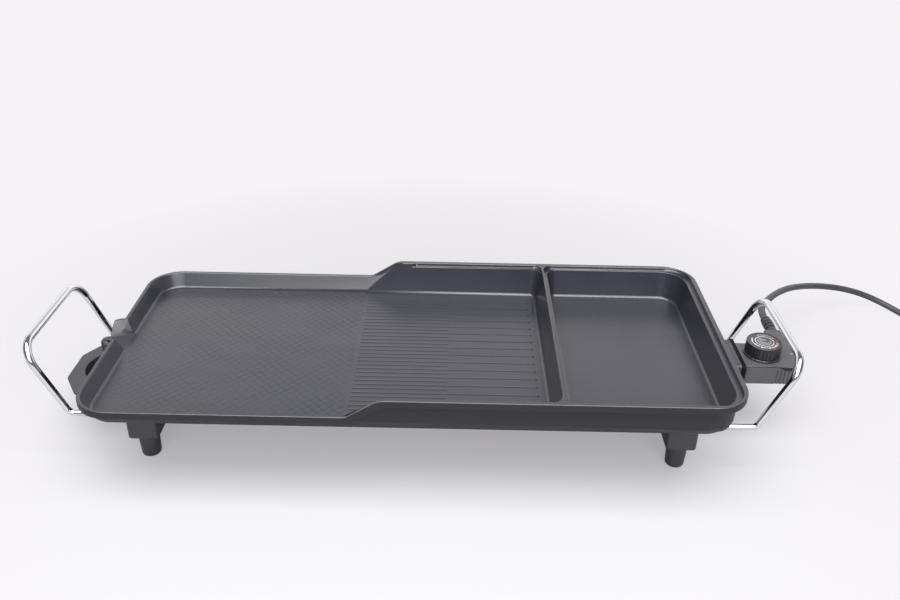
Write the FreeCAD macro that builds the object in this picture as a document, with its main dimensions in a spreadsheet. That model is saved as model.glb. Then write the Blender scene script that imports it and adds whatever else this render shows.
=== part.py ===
"""Electric fish roaster: a long non-stick griddle on four bakelite feet, with a raised deep
compartment at one end, wire handles, a pull-out grease tray and a plug-in temperature controller.

Frame: millimetres, +Z up, Z = 0 is the table top, +X towards the controller, and the origin is
under the middle of the box that holds the roaster without its cord.
"""
import FreeCAD, Part
import math
import os
import re
import Sketcher
from FreeCAD import Placement, Rotation, Vector

os.makedirs("parts", exist_ok=True)
doc = FreeCAD.newDocument("FishRoaster")

# ---------------------------------------------------------------- driving sizes
SIZES = [
    # pan casting
    ("PanLength", 680, "over the rim"),
    ("PanWidth", 300, "over the rim"),
    ("PanCorner", 38, "plan radius of the rim's corners"),
    ("LowRim", 110, "height of the griddle's rim above the table"),
    ("RimRise", 21, "step up to the deep end's rim"),
    ("RimDepth", 10.5, "height of the rim's outer band"),
    ("StepStart", -62, "where the rim starts to climb"),
    ("StepRun", 33, "length of the climb"),
    ("StepRound", 12, "inner radius at both ends of the climb"),
    ("Underside", 86, "height of the flat underside"),
    ("BaseThick", 6, "thickness of the base"),
    ("HullInset", 5.5, "foot of the hull's upright side, inside the rim's outline"),
    ("HullEndInset", 9.5, "the same at the deep end"),
    ("HullDraft", 2, "casting draft of the upright side, degrees"),
    ("BaseInset", 9.5, "edge of the flat underside, inside the rim's outline"),
    ("BaseEndInset", 13.5, "the same at the deep end"),
    ("BaseDraft", 18, "slope of the hull's lower side, degrees"),
    ("BottomRound", 8, "radius of the hull's bottom edge"),
    ("FloorRound", 4, "radius where wall meets floor"),
    ("LowInset", 11, "foot of the low wall, inside the rim's outline"),
    ("LowLip", 3.6, "width of the low rim's top"),
    ("SideInset", 13.5, "foot of the high long walls, inside the rim's outline"),
    ("EndInset", 17, "foot of the high end wall, inside the rim's outline"),
    ("WallDraft", 10, "draft of the high walls, degrees"),
    ("DeepCorner", 24, "plan radius of the deep floor's end corners"),
    ("DividerPlace", 152.8, "middle of the divider's top"),
    ("DividerTop", 3, "width of the divider's top"),
    ("DividerLedge", 4, "lid ledge on the divider's deep side"),
    ("DividerCorner", 7, "plan radius of the hollows' corners beside the divider"),
    ("SeatDrop", 4.5, "depth of the lid seat below the high rim"),
    ("SeatInset", 5.2, "width of the high rim's top"),
    ("SeatStart", -14, "end of the lid seat nearest the climb"),
    ("SeatCorner", 28, "plan radius of the lid seat's end corners"),
    ("LedgeCorner", 10, "plan radius of its other corners"),
    ("JogFoot", -71, "where the high wall begins at the floor"),
    ("JogRun", 48, "how far its edge leans over by the high rim"),
    # ribs cast on the floor
    ("RibPitch", 15.15, "spacing of the long ribs"),
    ("RibPlace", -5.6, "middle of the ribs across the pan"),
    ("RibCount", 17, "number of long ribs"),
    ("RibStart", -66.5, "common left end of all ribs"),
    ("RibEnd", 133, "right end of the long ribs"),
    ("ShortRibEnd", 38.5, "right end of the short ribs between them"),
    ("RibWidth", 3.2, "width of a rib at the floor"),
    ("RibHeight", 1.4, "height of a rib"),
    # pouring spout
    ("SpoutPlace", 6.4, "middle of the spout along the end wall"),
    ("SpoutReach", 11.5, "how far the lip stands out from the rim"),
    ("SpoutRoot", 54, "width of the spout where it leaves the rim"),
    ("SpoutLip", 44, "width of the spout at its lip"),
    ("SpoutMouth", 37, "width of the channel at the floor"),
    ("SpoutTop", 48, "width of the channel at the rim"),
    ("SpoutWall", 3, "wall of the beak"),
    ("SpoutRound", 8, "radius of the lip's corners"),
    ("SpoutNotch", 1, "half width of the channel's bottom at the lip"),
    ("SpoutSill", 12, "the channel leaves the lip this far below the rim"),
    ("NoseRadius", 8.5, "radius of the drip nose under the lip"),
    ("NoseLength", 24, "height of the drip nose"),
    # heating element and its seat
    ("TubeRadius", 4, "radius of the tubular element"),
    ("TubeSpan", 48, "the element's long legs stand this far from the middle"),
    ("TubeLeftInset", 100, "the element's left legs stop short of the pan's end"),
    ("TubeInset", 18, "the tube's two ends stop short of the pan's right end"),
    ("TerminalSpan", 16, "the two ends stand this far from the middle"),
    ("TerminalRun", 28, "straight run at the tube's two ends"),
    ("BendRun", 32, "length over which the legs close in"),
    ("TubeBend", 22, "bend radius of the element"),
    ("SeatGap", 0.1, "gap between the element and its groove"),
    ("RidgeWidth", 26, "width of the cast ridge that carries the element"),
    ("RidgeDepth", 4.5, "depth of that ridge"),
    ("ClipPlace", 150, "the clips stand this far left and right of the middle"),
    ("ClipWidth", 12, "width of a clip"),
    ("ClipThick", 1.2, "thickness of a clip"),
    ("ClipScrewOffset", 8.5, "clip screw to tube centre"),
    ("ClipScrewRadius", 1.5, "radius of the clip screw's shank"),
    ("ClipScrewDepth", 4, "depth of the clip screw in the ridge"),
    ("PinRadius", 2.5, "radius of the terminal pins"),
    ("PinReach", 14, "the terminal pins stand out from the pan's end"),
    # probe well and socket
    ("ProbeRadius", 3, "radius of the temperature probe"),
    ("ProbeFit", 0.08, "running gap round the probe in its well"),
    ("ProbeInset", 53, "the probe reaches under the pan"),
    ("WellEndWall", 7, "metal beyond the probe's tip"),
    ("WellWidth", 16, "width of the probe well"),
    ("WellHeight", 10, "height of the probe well below the base"),
    ("SocketGap", 1.3, "socket housing to the foot of the hull"),
    ("SocketDepth", 31.6, "length of the socket housing"),
    ("SocketWidth", 58, "width of the socket housing"),
    ("SocketHeight", 28, "height of the socket housing"),
    ("SocketWall", 3, "wall of the socket housing"),
    ("SocketRound", 4, "corner radius of the socket housing"),
    ("TabLength", 33, "length of the tab that fixes it under the pan"),
    ("TabThick", 3, "thickness of that tab"),
    ("ContactHeight", 82, "height of the terminal pins and the probe"),
    ("BossRadius", 5, "radius of the screw bosses under the pan"),
    ("SocketScrewSpan", 30, "socket screws stand this far from the middle"),
    ("SocketScrewIn", 27.5, "socket screws under the pan, from the housing's back"),
    # feet
    ("FootInset", 48, "feet from the pan's ends"),
    ("FootPlaceY", 75, "feet from the middle, across the pan"),
    ("BlockLength", 33, "foot block along the pan"),
    ("BlockWidth", 34, "foot block across the pan"),
    ("BlockBottom", 30, "height of the foot block's lower face"),
    ("BlockRound", 3.5, "radius of the foot block's edges"),
    ("LegTopRadius", 11.8, "radius of the leg under the block"),
    ("LegEndRadius", 10.3, "radius of the leg at the table"),
    ("LegRound", 3.5, "radius round the leg's end"),
    ("FootBoreRadius", 4.6, "counterbore for the screw head"),
    ("FootHeadRadius", 4.2, "radius of the foot screw's head"),
    ("FootHeadHeight", 3, "height of that head"),
    ("FootShankRadius", 2.4, "radius of the foot screw's shank"),
    ("ShankGap", 0.15, "gap round a screw's shank"),
    ("FootBossHeight", 8, "height of the pan's boss inside the foot"),
    ("BossGap", 0.25, "gap round that boss"),
    # handles
    ("RodRadius", 3.5, "radius of the handle wire"),
    ("RodHeight", 52, "height of the wire where it enters the feet"),
    ("RodGrip", 11.5, "depth of the wire's end in the foot"),
    ("KneeOut", 34, "the wire turns up this far beyond the pan's end"),
    ("GripOut", 71, "the grip stands this far beyond the pan's end"),
    ("HandleTop", 134.5, "height of the grip"),
    ("KneeRadius", 9, "bend at the knee"),
    ("GripRadius", 24, "bend at the grip's ends"),
    # grease tray and its runners
    ("TrayTop", 62, "height of the tray's flange"),
    ("TrayFlange", 3, "thickness of the flange"),
    ("TrayOut", 56, "the tray's front stands out from the pan's end"),
    ("ShoulderOut", 4, "its wide front ends this far beyond the pan's end"),
    ("TongueLength", 82, "length of the part between the runners"),
    ("TrayWidth", 108, "width of the tray's front"),
    ("TrayTongue", 84, "width of the part between the runners"),
    ("TrayRound", 3, "plan radius of the tray's other corners"),
    ("CupFoot", 7, "radius round the cup's bottom"),
    ("TrayCutAcross", 31, "the tray's front corners are cut off by this across the pan"),
    ("TrayCutAlong", 20, "the same along the pan"),
    ("TrayCorner", 10, "plan radius at both ends of the cut"),
    ("CupOut", 9, "middle of the cup beyond the pan's end"),
    ("CupOffset", 2, "middle of the cup across the pan"),
    ("CupRadius", 33.5, "inner radius of the cup"),
    ("CupWall", 2, "wall of the cup"),
    ("CupDepth", 26, "inner depth of the cup"),
    ("RunnerInset", 12, "the runners end this far inside the pan's end"),
    ("RunnerLength", 70, "length of the runners"),
    ("RunnerThick", 1.5, "sheet of the runners"),
    ("RunnerLip", 5, "width of the runners' lips"),
    ("RunnerGap", 0.4, "gap between tray and runners"),
    ("RunnerFlange", 11, "width of the runners' top flange"),
    ("RunnerScrewIn", 12, "runner screws from each end"),
    ("SmallHeadRadius", 3, "radius of small screw heads"),
    ("SmallHeadHeight", 1.6, "height of small screw heads"),
    # controller
    ("CaseLength", 68.5, "length of the controller's case"),
    ("CaseFront", -25, "front face of the case"),
    ("CaseBack", 24, "back face of the case's body"),
    ("ArmBack", 55, "back face of the arm that the cord leaves"),
    ("ArmWidth", 24.5, "width of that arm"),
    ("CaseBottom", 75, "height of the case's lower face"),
    ("CaseTop", 98, "height of the case's top face"),
    ("CoverThick", 4.5, "depth of the case's cover"),
    ("CaseWall", 2.2, "wall of the case"),
    ("CaseRound", 3, "plan radius of the case's small corners"),
    ("CaseNose", 8, "plan radius of the case's front right corner"),
    ("CaseRake", 10.5, "the right side slants in by this at the front"),
    ("CaseBow", 40, "radius where the slant meets the right side"),
    ("EdgeRound", 1.2, "radius of the case's edges"),
    ("GrooveCount", 4, "grip grooves on the front face"),
    ("GroovePitch", 4.2, "spacing of the grip grooves"),
    ("GrooveInset", 25, "middle of the grip grooves from the case's right end"),
    ("GrooveDepth", 0.9, "depth of the grip grooves"),
    ("PlateThick", 4.2, "thickness of the black plate at the socket"),
    ("PlateWidth", 62, "width of that plate"),
    ("PlateHeight", 28, "height of that plate"),
    ("PlateGap", 0.4, "gap between plate and socket"),
    ("NoseGap", 1, "gap between the nose and the socket's back"),
    ("NoseWidth", 44, "width of the nose"),
    ("NoseHeight", 19, "height of the nose"),
    ("SleeveRadius", 3.4, "outer radius of the contact sleeves"),
    ("SleeveFit", 0.06, "running gap between pin and sleeve"),
    ("DialInset", 26, "dial axis from the case's left end"),
    ("DialPlaceY", 1, "dial axis across the pan"),
    ("DialRadius", 19.4, "radius of the knob's top"),
    ("DialSkirt", 20.8, "radius of the knob's skirt"),
    ("DialHeight", 16.6, "height of the knob"),
    ("DialGap", 0.4, "gap between knob and case"),
    ("SkirtHeight", 2.4, "height of the knob's skirt"),
    ("DialEdge", 0.8, "radius of the knob's top edge"),
    ("DialDish", 1.2, "depth of the dish in the knob's top"),
    ("DialRim", 2.2, "width of the rim round the dish"),
    ("FluteCount", 30, "flutes round the knob"),
    ("FluteDepth", 0.7, "depth of a flute"),
    ("ShaftRadius", 3, "radius of the dial's shaft"),
    ("ShaftFit", 0.08, "running gap round the shaft"),
    ("ShaftGrip", 9, "depth of the shaft in the knob"),
    ("CapHeight", 1, "thickness of the printed disc in the dish"),
    ("CapGap", 0.15, "gap round the printed disc"),
    ("BushRadius", 5, "radius of the bush on the thermostat"),
    ("BushHeight", 7, "height of that bush"),
    ("StatInset", 14, "thermostat from the case's left end"),
    ("BladeLength", 16, "length of the contact blades"),
    ("BladeThick", 0.8, "thickness of the contact blades"),
    ("StatLength", 24, "thermostat block along the pan"),
    ("StatWidth", 26, "thermostat block across the pan"),
    ("StatHeight", 8, "height of the thermostat block"),
    ("CaseScrewRadius", 1.4, "radius of the case screws"),
    ("CaseScrewLength", 12, "length of the case screws"),
    # cord
    ("CordRadius", 4.3, "radius of the rubber cord"),
    ("ReliefRadius", 6.2, "radius of the strain relief at the case"),
    ("ReliefEnd", 5.2, "radius of the strain relief at the cord"),
    ("ReliefLength", 42, "length of the strain relief"),
    ("ReliefGroove", 1, "depth of the relief's grooves"),
    ("ReliefRings", 6, "grooves round the strain relief"),
    ("ReliefInset", 8, "strain relief from the case's right end"),
    ("ReliefHeight", 87, "height of the cord where it leaves"),
    ("LeadLength", 30, "straight lead from the route into the coil"),
    ("TailLength", 52, "straight lead from the coil to the plug"),
    ("LeadInset", 0.3, "both leads lie inside the coil's faces by this"),
    ("CoilRadius", 48, "middle radius of the coil's turns"),
    ("CoilWidth", 17.2, "width of the coil's ring"),
    ("CoilHeight", 17.2, "height of the coil's ring"),
    ("PlugLength", 38, "length of the plug's body"),
    ("PlugRadius", 12.5, "radius of the plug's face"),
    ("PlugTail", 5.6, "radius of the plug's tail"),
    ("PlugPinRadius", 2.4, "radius of the plug's pins"),
    ("PlugPinLength", 19, "length of the plug's pins"),
    ("PlugPinSpan", 19, "spacing of the plug's pins"),
]

# What follows from the driving sizes, in their own terms.
DERIVED = {
    "PanEnd": "PanLength / 2",
    "HighRim": "LowRim + RimRise",
    "Floor": "Underside + BaseThick",
    "SeatHeight": "HighRim - SeatDrop",
    "WallLean": "(SeatHeight - Floor) * tan(WallDraft)",
    "DividerLeft": "DividerPlace - DividerTop / 2",
    "DividerRight": "DividerPlace + DividerTop / 2",
    "StepShift": "RimDepth * tan(atan(RimRise / StepRun) / 2)",
    "LowDraft": "atan((LowInset - LowLip) / (LowRim - Floor))",
    "LowFoot": "PanEnd - LowInset",
    "RidgeFace": "Underside - RidgeDepth",
    "TubeLeft": "PanEnd - TubeLeftInset",
    "TubeRight": "PanEnd - TubeInset",
    "BendEnd": "TubeRight - TerminalRun",
    "BendStart": "BendEnd - BendRun",
    "PinEnd": "PanEnd + PinReach",
    "ProbeTip": "PanEnd - ProbeInset",
    "WellStart": "ProbeTip - WellEndWall",
    "SocketStart": "PanEnd - HullEndInset + SocketGap",
    "SocketEnd": "SocketStart + SocketDepth",
    "SocketScrewPlace": "SocketStart - SocketScrewIn",
    "PlateStart": "SocketEnd + PlateGap",
    "CaseStart": "PlateStart + PlateThick",
    "CaseEnd": "CaseStart + CaseLength",
    "CaseMiddle": "(CaseBottom + CaseTop) / 2",
    "SocketBottom": "CaseMiddle - SocketHeight / 2",
    "TabTop": "SocketBottom + TabThick",
    "NoseStart": "SocketStart + SocketWall + NoseGap",
    "InnerEnd": "CaseStart + CaseWall + CaseWall / 2",
    "CoverBottom": "CaseTop - CoverThick",
    "GroovePlace": "CaseEnd - GrooveInset",
    "StatStart": "CaseStart + StatInset",
    "StatBottom": "CaseBottom + CaseWall",
    "StatTop": "StatBottom + StatHeight",
    "DialPlaceX": "CaseStart + DialInset",
    "DialBottom": "CaseTop + DialGap",
    "ReliefPlace": "CaseEnd - ReliefInset",
    "FootPlaceX": "PanEnd - FootInset",
    "BlockFace": "FootPlaceX + BlockLength / 2",
    "RodEnd": "BlockFace - RodGrip",
    "HandleKnee": "PanEnd + KneeOut",
    "HandleReach": "PanEnd + GripOut",
    "TrayBottom": "TrayTop - TrayFlange",
    "TrayFront": "PanEnd + TrayOut",
    "TrayShoulder": "PanEnd + ShoulderOut",
    "TrayBack": "TrayShoulder - TongueLength",
    "CupPlace": "PanEnd + CupOut",
    "RunnerStart": "PanEnd - RunnerInset",
    "RunnerEnd": "RunnerStart - RunnerLength",
    "RunnerFace": "TrayTongue / 2 + RunnerGap",
    "MidX": "(HandleReach + RodRadius - CaseEnd) / 2",
}

sheet = doc.addObject("Spreadsheet::Sheet", "Sizes")
for row, (alias, size, note) in enumerate(SIZES, 1):
    sheet.set("A%d" % row, note)
    sheet.set("B%d" % row, str(size))
    sheet.setAlias("B%d" % row, alias)
doc.recompute()
ALIASES = {alias for alias, size, note in SIZES}


def full(expression):
    """The expression with every derived name opened out and every alias led by its sheet."""
    def swap(match):
        word = match.group()
        if word in DERIVED:
            return "(%s)" % full(DERIVED[word])
        return "Sizes." + word if word in ALIASES else word
    return re.sub(r"[A-Za-z]\w*", swap, str(expression))


def value(expression):
    """The expression's present value as a number."""
    return float(sheet.evalExpression(full(expression)))


def bind(thing, **properties):
    """Tie properties to expressions; a double underscore in a name stands for a dot."""
    for name, expression in properties.items():
        thing.setExpression(name.replace("__", "."), full(expression))
    return thing


# ---------------------------------------------------------------- building blocks
TURN = {
    "X": Rotation(Vector(0, 1, 0), 90),
    "Y": Rotation(Vector(1, 0, 0), -90),
    "Z": Rotation(),
}
PLANE = {
    "XY": (Rotation(), "z"),
    "XZ": (Rotation(Vector(1, 0, 0), 90), "y"),
    "YZ": (Rotation(Vector(1, 1, 1), 120), "x"),
}


def at(thing, x, y, z, turn=Rotation()):
    """Place a thing at three expressions."""
    thing.Placement = Placement(Vector(value(x), value(y), value(z)), turn)
    return bind(thing, Placement__Base__x=x, Placement__Base__y=y, Placement__Base__z=z)


def box(name, x, y, z):
    """A box between pairs of expressions."""
    block = doc.addObject("Part::Box", name)
    bind(block, Length="(%s) - (%s)" % (x[1], x[0]))
    bind(block, Width="(%s) - (%s)" % (y[1], y[0]))
    bind(block, Height="(%s) - (%s)" % (z[1], z[0]))
    return at(block, x[0], y[0], z[0])


def rod(name, axis, x, y, z, radius, length):
    """A cylinder that starts at a point and runs along an axis."""
    cylinder = doc.addObject("Part::Cylinder", name)
    bind(cylinder, Radius=radius, Height=length)
    return at(cylinder, x, y, z, TURN[axis])


def cone(name, axis, x, y, z, near, far, length):
    """A cone that starts at a point and runs along an axis."""
    taper = doc.addObject("Part::Cone", name)
    bind(taper, Radius1=near, Radius2=far, Height=length)
    return at(taper, x, y, z, TURN[axis])


def fuse(name, *pieces):
    whole = doc.addObject("Part::MultiFuse", name)
    whole.Shapes = list(pieces)
    whole.Refine = True
    return whole


def common(name, base, tool):
    part = doc.addObject("Part::Common", name)
    part.Base = base
    part.Tool = tool
    return part


def cut(name, base, *tools):
    """Base less the tools; more than one tool is gathered first."""
    part = doc.addObject("Part::Cut", name)
    part.Base = base
    part.Tool = tools[0] if len(tools) == 1 else fuse(name + "_tools", *tools)
    return part


def group(name, pieces):
    bundle = doc.addObject("Part::Compound", name)
    bundle.Links = list(pieces)
    return bundle


def round_edges(name, base, radius, chosen):
    """Fillet those edges of a piece that the test picks."""
    doc.recompute()
    edges = [(i, value(radius), value(radius)) for i, edge in enumerate(base.Shape.Edges, 1) if chosen(edge)]
    fillet = doc.addObject("Part::Fillet", name)
    fillet.Base = base
    fillet.Edges = edges
    return fillet


def runs_along(edge, axis):
    """True for a straight edge parallel to an axis."""
    if edge.Curve.TypeId != "Part::GeomLine":
        return False
    return abs(edge.Curve.Direction.dot(axis)) > 0.999


def lies_at(edge, axis, place):
    """True for an edge wholly in the plane across an axis at a place."""
    low = min(vertex.Point.dot(axis) for vertex in edge.Vertexes)
    high = max(vertex.Point.dot(axis) for vertex in edge.Vertexes)
    return abs(low - place) < 1e-4 and abs(high - place) < 1e-4


X_AXIS = Vector(1, 0, 0)
Y_AXIS = Vector(0, 1, 0)
Z_AXIS = Vector(0, 0, 1)


def corner_arc(previous, corner, following, radius):
    """Start, middle and end of the arc that rounds a corner."""
    back = (previous - corner).normalize()
    ahead = (following - corner).normalize()
    half = back.getAngle(ahead) / 2
    reach = radius / math.tan(half)
    inward = (back + ahead).normalize()
    middle = corner + inward * (radius / math.sin(half) - radius)
    return corner + back * reach, middle, corner + ahead * reach


def counterclockwise(arc, radius, leftward):
    """The same arc as a sketch keeps it: from its right-hand end to its left-hand end."""
    start, middle, end = arc
    chord = (start + end) * 0.5
    centre = middle + (chord - middle).normalize() * radius
    if not leftward:
        start, end = end, start
    angles = [math.atan2(point.y - centre.y, point.x - centre.x) for point in (start, end)]
    return Part.ArcOfCircle(Part.Circle(centre, Vector(0, 0, 1), radius), *angles)


def draw(sketch, corners):
    """Draw a closed outline of (x, y, radius) expressions, fully constrained to the sheet."""
    count = len(corners)
    points = [Vector(value(x), value(y), 0) for x, y, radius in corners]
    arcs = {}
    for i, (x, y, radius) in enumerate(corners):
        if radius is not None:
            arcs[i] = corner_arc(points[i - 1], points[i], points[(i + 1) % count], value(radius))
    lines = []
    for i in range(count):
        after = (i + 1) % count
        start = arcs[i][2] if i in arcs else points[i]
        end = arcs[after][0] if after in arcs else points[after]
        lines.append(sketch.addGeometry(Part.LineSegment(start, end), False))
    for i, (x, y, radius) in enumerate(corners):
        point = sketch.addGeometry(Part.Point(points[i]), True)
        for kind, axis, expression in (("DistanceX", "x", x), ("DistanceY", "y", y)):
            rule = Sketcher.Constraint(kind, -1, 1, point, 1, getattr(points[i], axis))
            number = sketch.addConstraint(rule)
            sketch.renameConstraint(number, axis + str(i))
            sketch.setExpression("Constraints.%s%d" % (axis, i), full(expression))
        before, line = lines[i - 1], lines[i]
        if i not in arcs:
            sketch.addConstraint(Sketcher.Constraint("Coincident", before, 2, point, 1))
            sketch.addConstraint(Sketcher.Constraint("Coincident", line, 1, point, 1))
            continue
        leftward = (points[i] - points[i - 1]).cross(points[(i + 1) % count] - points[i]).z > 0
        arc = sketch.addGeometry(counterclockwise(arcs[i], value(radius), leftward), False)
        first, last = (1, 2) if leftward else (2, 1)
        sketch.addConstraint(Sketcher.Constraint("Tangent", before, 2, arc, first))
        sketch.addConstraint(Sketcher.Constraint("Tangent", arc, last, line, 1))
        number = sketch.addConstraint(Sketcher.Constraint("Radius", arc, value(radius)))
        sketch.renameConstraint(number, "radius%d" % i)
        sketch.setExpression("Constraints.radius%d" % i, full(radius))
        sketch.addConstraint(Sketcher.Constraint("PointOnObject", point, 1, before))
        sketch.addConstraint(Sketcher.Constraint("PointOnObject", point, 1, line))
    return sketch


def outline(name, plane, place, corners):
    """A sketch of a closed outline on a plane that crosses its own axis at a place."""
    sketch = doc.addObject("Sketcher::SketchObject", name)
    turn, across = PLANE[plane]
    sketch.Placement = Placement(Vector(), turn)
    bind(sketch, **{"Placement__Base__" + across: place})
    return draw(sketch, corners)


def prism(name, plane, corners, low, high, taper=None):
    """An outline drawn up from low to high along its plane's axis, widening by a draft."""
    place = high if plane == "XZ" else low
    solid = doc.addObject("Part::Extrusion", name)
    solid.Base = outline(name + "_outline", plane, place, corners)
    solid.DirMode = "Normal"
    solid.Solid = True
    bind(solid, LengthFwd="(%s) - (%s)" % (high, low))
    if taper is not None:
        bind(solid, TaperAngle=taper)
    return solid


def plan(left, right, front, back, radius):
    """Corners of a rounded rectangle seen from above."""
    return [(left, front, radius), (right, front, radius), (right, back, radius), (left, back, radius)]


def route(points, radii):
    """A wire of straight runs joined by tangent arcs; radii belong to the inner points."""
    edges = []
    start = points[0]
    for i, radius in enumerate(radii, 1):
        arc = corner_arc(points[i - 1], points[i], points[i + 1], radius)
        if (arc[0] - start).Length > 1e-6:
            edges.append(Part.makeLine(start, arc[0]))
        edges.append(Part.Arc(*arc).toShape())
        start = arc[2]
    edges.append(Part.makeLine(start, points[-1]))
    return Part.Wire(edges)


def swept(name, wire, profile):
    """A solid swept along a wire, its volume held against section times length."""
    shape = wire.makePipeShell([profile], True, False)
    expected = Part.Face(profile).Area * wire.Length
    if abs(shape.Volume / expected - 1) > 0.01:
        raise RuntimeError("%s is not its section times its length" % name)
    solid = doc.addObject("Part::Feature", name)
    solid.Shape = shape
    return solid


def round_tube(name, points, radii, radius):
    """A round bar along a route."""
    wire = route(points, radii)
    along = points[1] - points[0]
    return swept(name, wire, Part.Wire(Part.makeCircle(radius, points[0], along)))


def screw(name, x, y, seat, head_radius, head_height, shank_radius, shank_length):
    """A screw driven upwards: its head hangs below the seat, its shank rises from it."""
    head = rod(name + "_head", "Z", x, y, "%s - (%s)" % (seat, head_height), head_radius, head_height)
    shank = rod(name + "_shank", "Z", x, y, seat, shank_radius, shank_length)
    return fuse(name, head, shank)


def node(label, *pieces):
    """A finished sub-part, moved so that the model stands centred on its origin."""
    whole = group(label, pieces)
    bind(whole, Placement__Base__x="MidX")
    NODES.append(whole)
    return whole


NODES = []

# ---------------------------------------------------------------- the pan casting
# A rim band that climbs in an S from the griddle's end to the deep end.
step_band = prism("rim_band", "XZ", [
    ("-PanEnd", "LowRim - RimDepth", None),
    ("StepStart + StepShift", "LowRim - RimDepth", "StepRound + RimDepth"),
    ("StepStart + StepShift + StepRun", "HighRim - RimDepth", "StepRound"),
    ("PanEnd", "HighRim - RimDepth", None),
    ("PanEnd", "HighRim", None),
    ("StepStart + StepRun", "HighRim", "StepRound + RimDepth"),
    ("StepStart", "LowRim", "StepRound"),
    ("-PanEnd", "LowRim", None),
], "-PanWidth / 2", "PanWidth / 2")
rim = round_edges("rim", step_band, "PanCorner", lambda edge: runs_along(edge, Z_AXIS))

# The hull under it: an upright side that slopes in to the underside, trimmed to the same S.
def hull_plan(inset, end_inset):
    """The hull's outline; its deep end stands further in than its other sides."""
    return plan("%s - PanEnd" % inset, "PanEnd - %s" % end_inset, "%s - PanWidth / 2" % inset,
                "PanWidth / 2 - %s" % inset, "PanCorner - %s" % inset)


hull_upright = prism("hull_upright", "XY", hull_plan("HullInset", "HullEndInset"),
                     "Underside", "HighRim", "HullDraft")
hull_sloping = prism("hull_sloping", "XY", hull_plan("BaseInset", "BaseEndInset"),
                     "Underside", "HighRim", "BaseDraft")
hull_round = round_edges(
    "hull_round", hull_sloping, "BottomRound", lambda edge: lies_at(edge, Z_AXIS, value("Underside")))
hull_reach = prism("hull_reach", "XZ", [
    ("-PanEnd", "Underside", None),
    ("PanEnd", "Underside", None),
    ("PanEnd", "HighRim - RimDepth / 2", None),
    ("StepStart + StepRun", "HighRim - RimDepth / 2", "StepRound"),
    ("StepStart", "LowRim - RimDepth / 2", "StepRound"),
    ("-PanEnd", "LowRim - RimDepth / 2", None),
], "-PanWidth / 2", "PanWidth / 2")
hull = common("hull", common("hull_sides", hull_round, hull_upright), hull_reach)

# The pouring spout: a beak on the end wall with a V channel that rises to its lip.


def spout_section(name, place, low, foot, top, high):
    """A trapezoid across the spout: half width foot at the low side, half width top above."""
    return outline(name, "YZ", place, [
        ("SpoutPlace - (%s)" % foot, low, None), ("SpoutPlace + %s" % foot, low, None),
        ("SpoutPlace + %s" % top, high, None), ("SpoutPlace - (%s)" % top, high, None),
    ])


def loft(name, *sections):
    solid = doc.addObject("Part::Loft", name)
    solid.Sections = list(sections)
    solid.Solid = True
    solid.Ruled = True
    return solid


SILL = "LowRim - SpoutSill"
LIP = "-PanEnd - SpoutReach"
beak_block = loft(
    "beak_block",
    spout_section("beak_root", "HullInset + 4 - PanEnd", "Floor - BaseThick / 2",
                  "SpoutMouth / 2 + SpoutWall", "SpoutRoot / 2", "LowRim"),
    spout_section("beak_tip", LIP, SILL + " - SpoutWall", "SpoutWall", "SpoutLip / 2", "LowRim"),
)
doc.recompute()
corners = []
for number, edge in enumerate(beak_block.Shape.Edges, 1):
    if lies_at(edge, X_AXIS, value(LIP)) and not runs_along(edge, Y_AXIS):
        # each corner of the lip is round at the top and sharpens toward the channel's foot
        radii = [value("SpoutRound"), value("SpoutWall / 2")]
        rising = edge.lastVertex(True).Z > edge.firstVertex(True).Z
        corners.append((number, *(reversed(radii) if rising else radii)))
beak = doc.addObject("Part::Fillet", "beak")
beak.Base = beak_block
beak.Edges = corners
channel = loft(
    "channel",
    spout_section("channel_root", "-LowFoot", "Floor", "SpoutMouth / 2", "SpoutTop / 2", "LowRim + 2"),
    spout_section("channel_tip", LIP + " - 1", SILL, "SpoutNotch",
                  "SpoutLip / 2 - SpoutWall / 2", "LowRim + 2"),
)
channel_foot = prism("channel_foot", "YZ", [
    ("SpoutPlace - SpoutMouth / 2", "Floor", None), ("SpoutPlace + SpoutMouth / 2", "Floor", None),
    ("SpoutPlace + SpoutTop / 2", "LowRim + 2", None), ("SpoutPlace - SpoutTop / 2", "LowRim + 2", None),
], "-LowFoot", "-LowFoot + FloorRound")
nose_blank = rod("nose_blank", "Z", LIP + " - 2", "SpoutPlace", SILL + " - SpoutWall / 2 - NoseLength",
                 "NoseRadius", "NoseLength")
nose = round_edges("drip_nose", nose_blank, "NoseRadius / 2",
                   lambda edge: len(edge.Vertexes) == 1 and not runs_along(edge, Z_AXIS))

# Underside: the ridge that carries the element, the probe well and the screw bosses.
HEIGHT = "ContactHeight"
TUBE_CORNERS = [
    ("TubeRight", "-TerminalSpan"), ("BendEnd", "-TerminalSpan"), ("BendStart", "-TubeSpan"),
    ("-TubeLeft", "-TubeSpan"), ("-TubeLeft", "TubeSpan"), ("BendStart", "TubeSpan"),
    ("BendEnd", "TerminalSpan"), ("TubeRight", "TerminalSpan"),
]
tube_points = [Vector(value(x), value(y), value(HEIGHT)) for x, y in TUBE_CORNERS]
tube_bends = [value("TubeBend")] * (len(TUBE_CORNERS) - 2)
ridge_end = Vector(value("(BendEnd + TubeRight) / 2"), 0, value("Underside - RidgeDepth / 2"))
ridge_points = [Vector(point.x, point.y, ridge_end.z) for point in tube_points]
ridge_points[0].x = ridge_end.x
ridge_points[-1].x = ridge_end.x
half_width = value("RidgeWidth / 2")
half_depth = value("RidgeDepth / 2")
ridge_section = Part.makePolygon([
    Vector(ridge_end.x, ridge_points[0].y + side * half_width, ridge_end.z + rise * half_depth)
    for side, rise in ((-1, -1), (1, -1), (1, 1), (-1, 1), (-1, -1))
])
ridge = swept("element_ridge", route(ridge_points, tube_bends), ridge_section)
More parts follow.
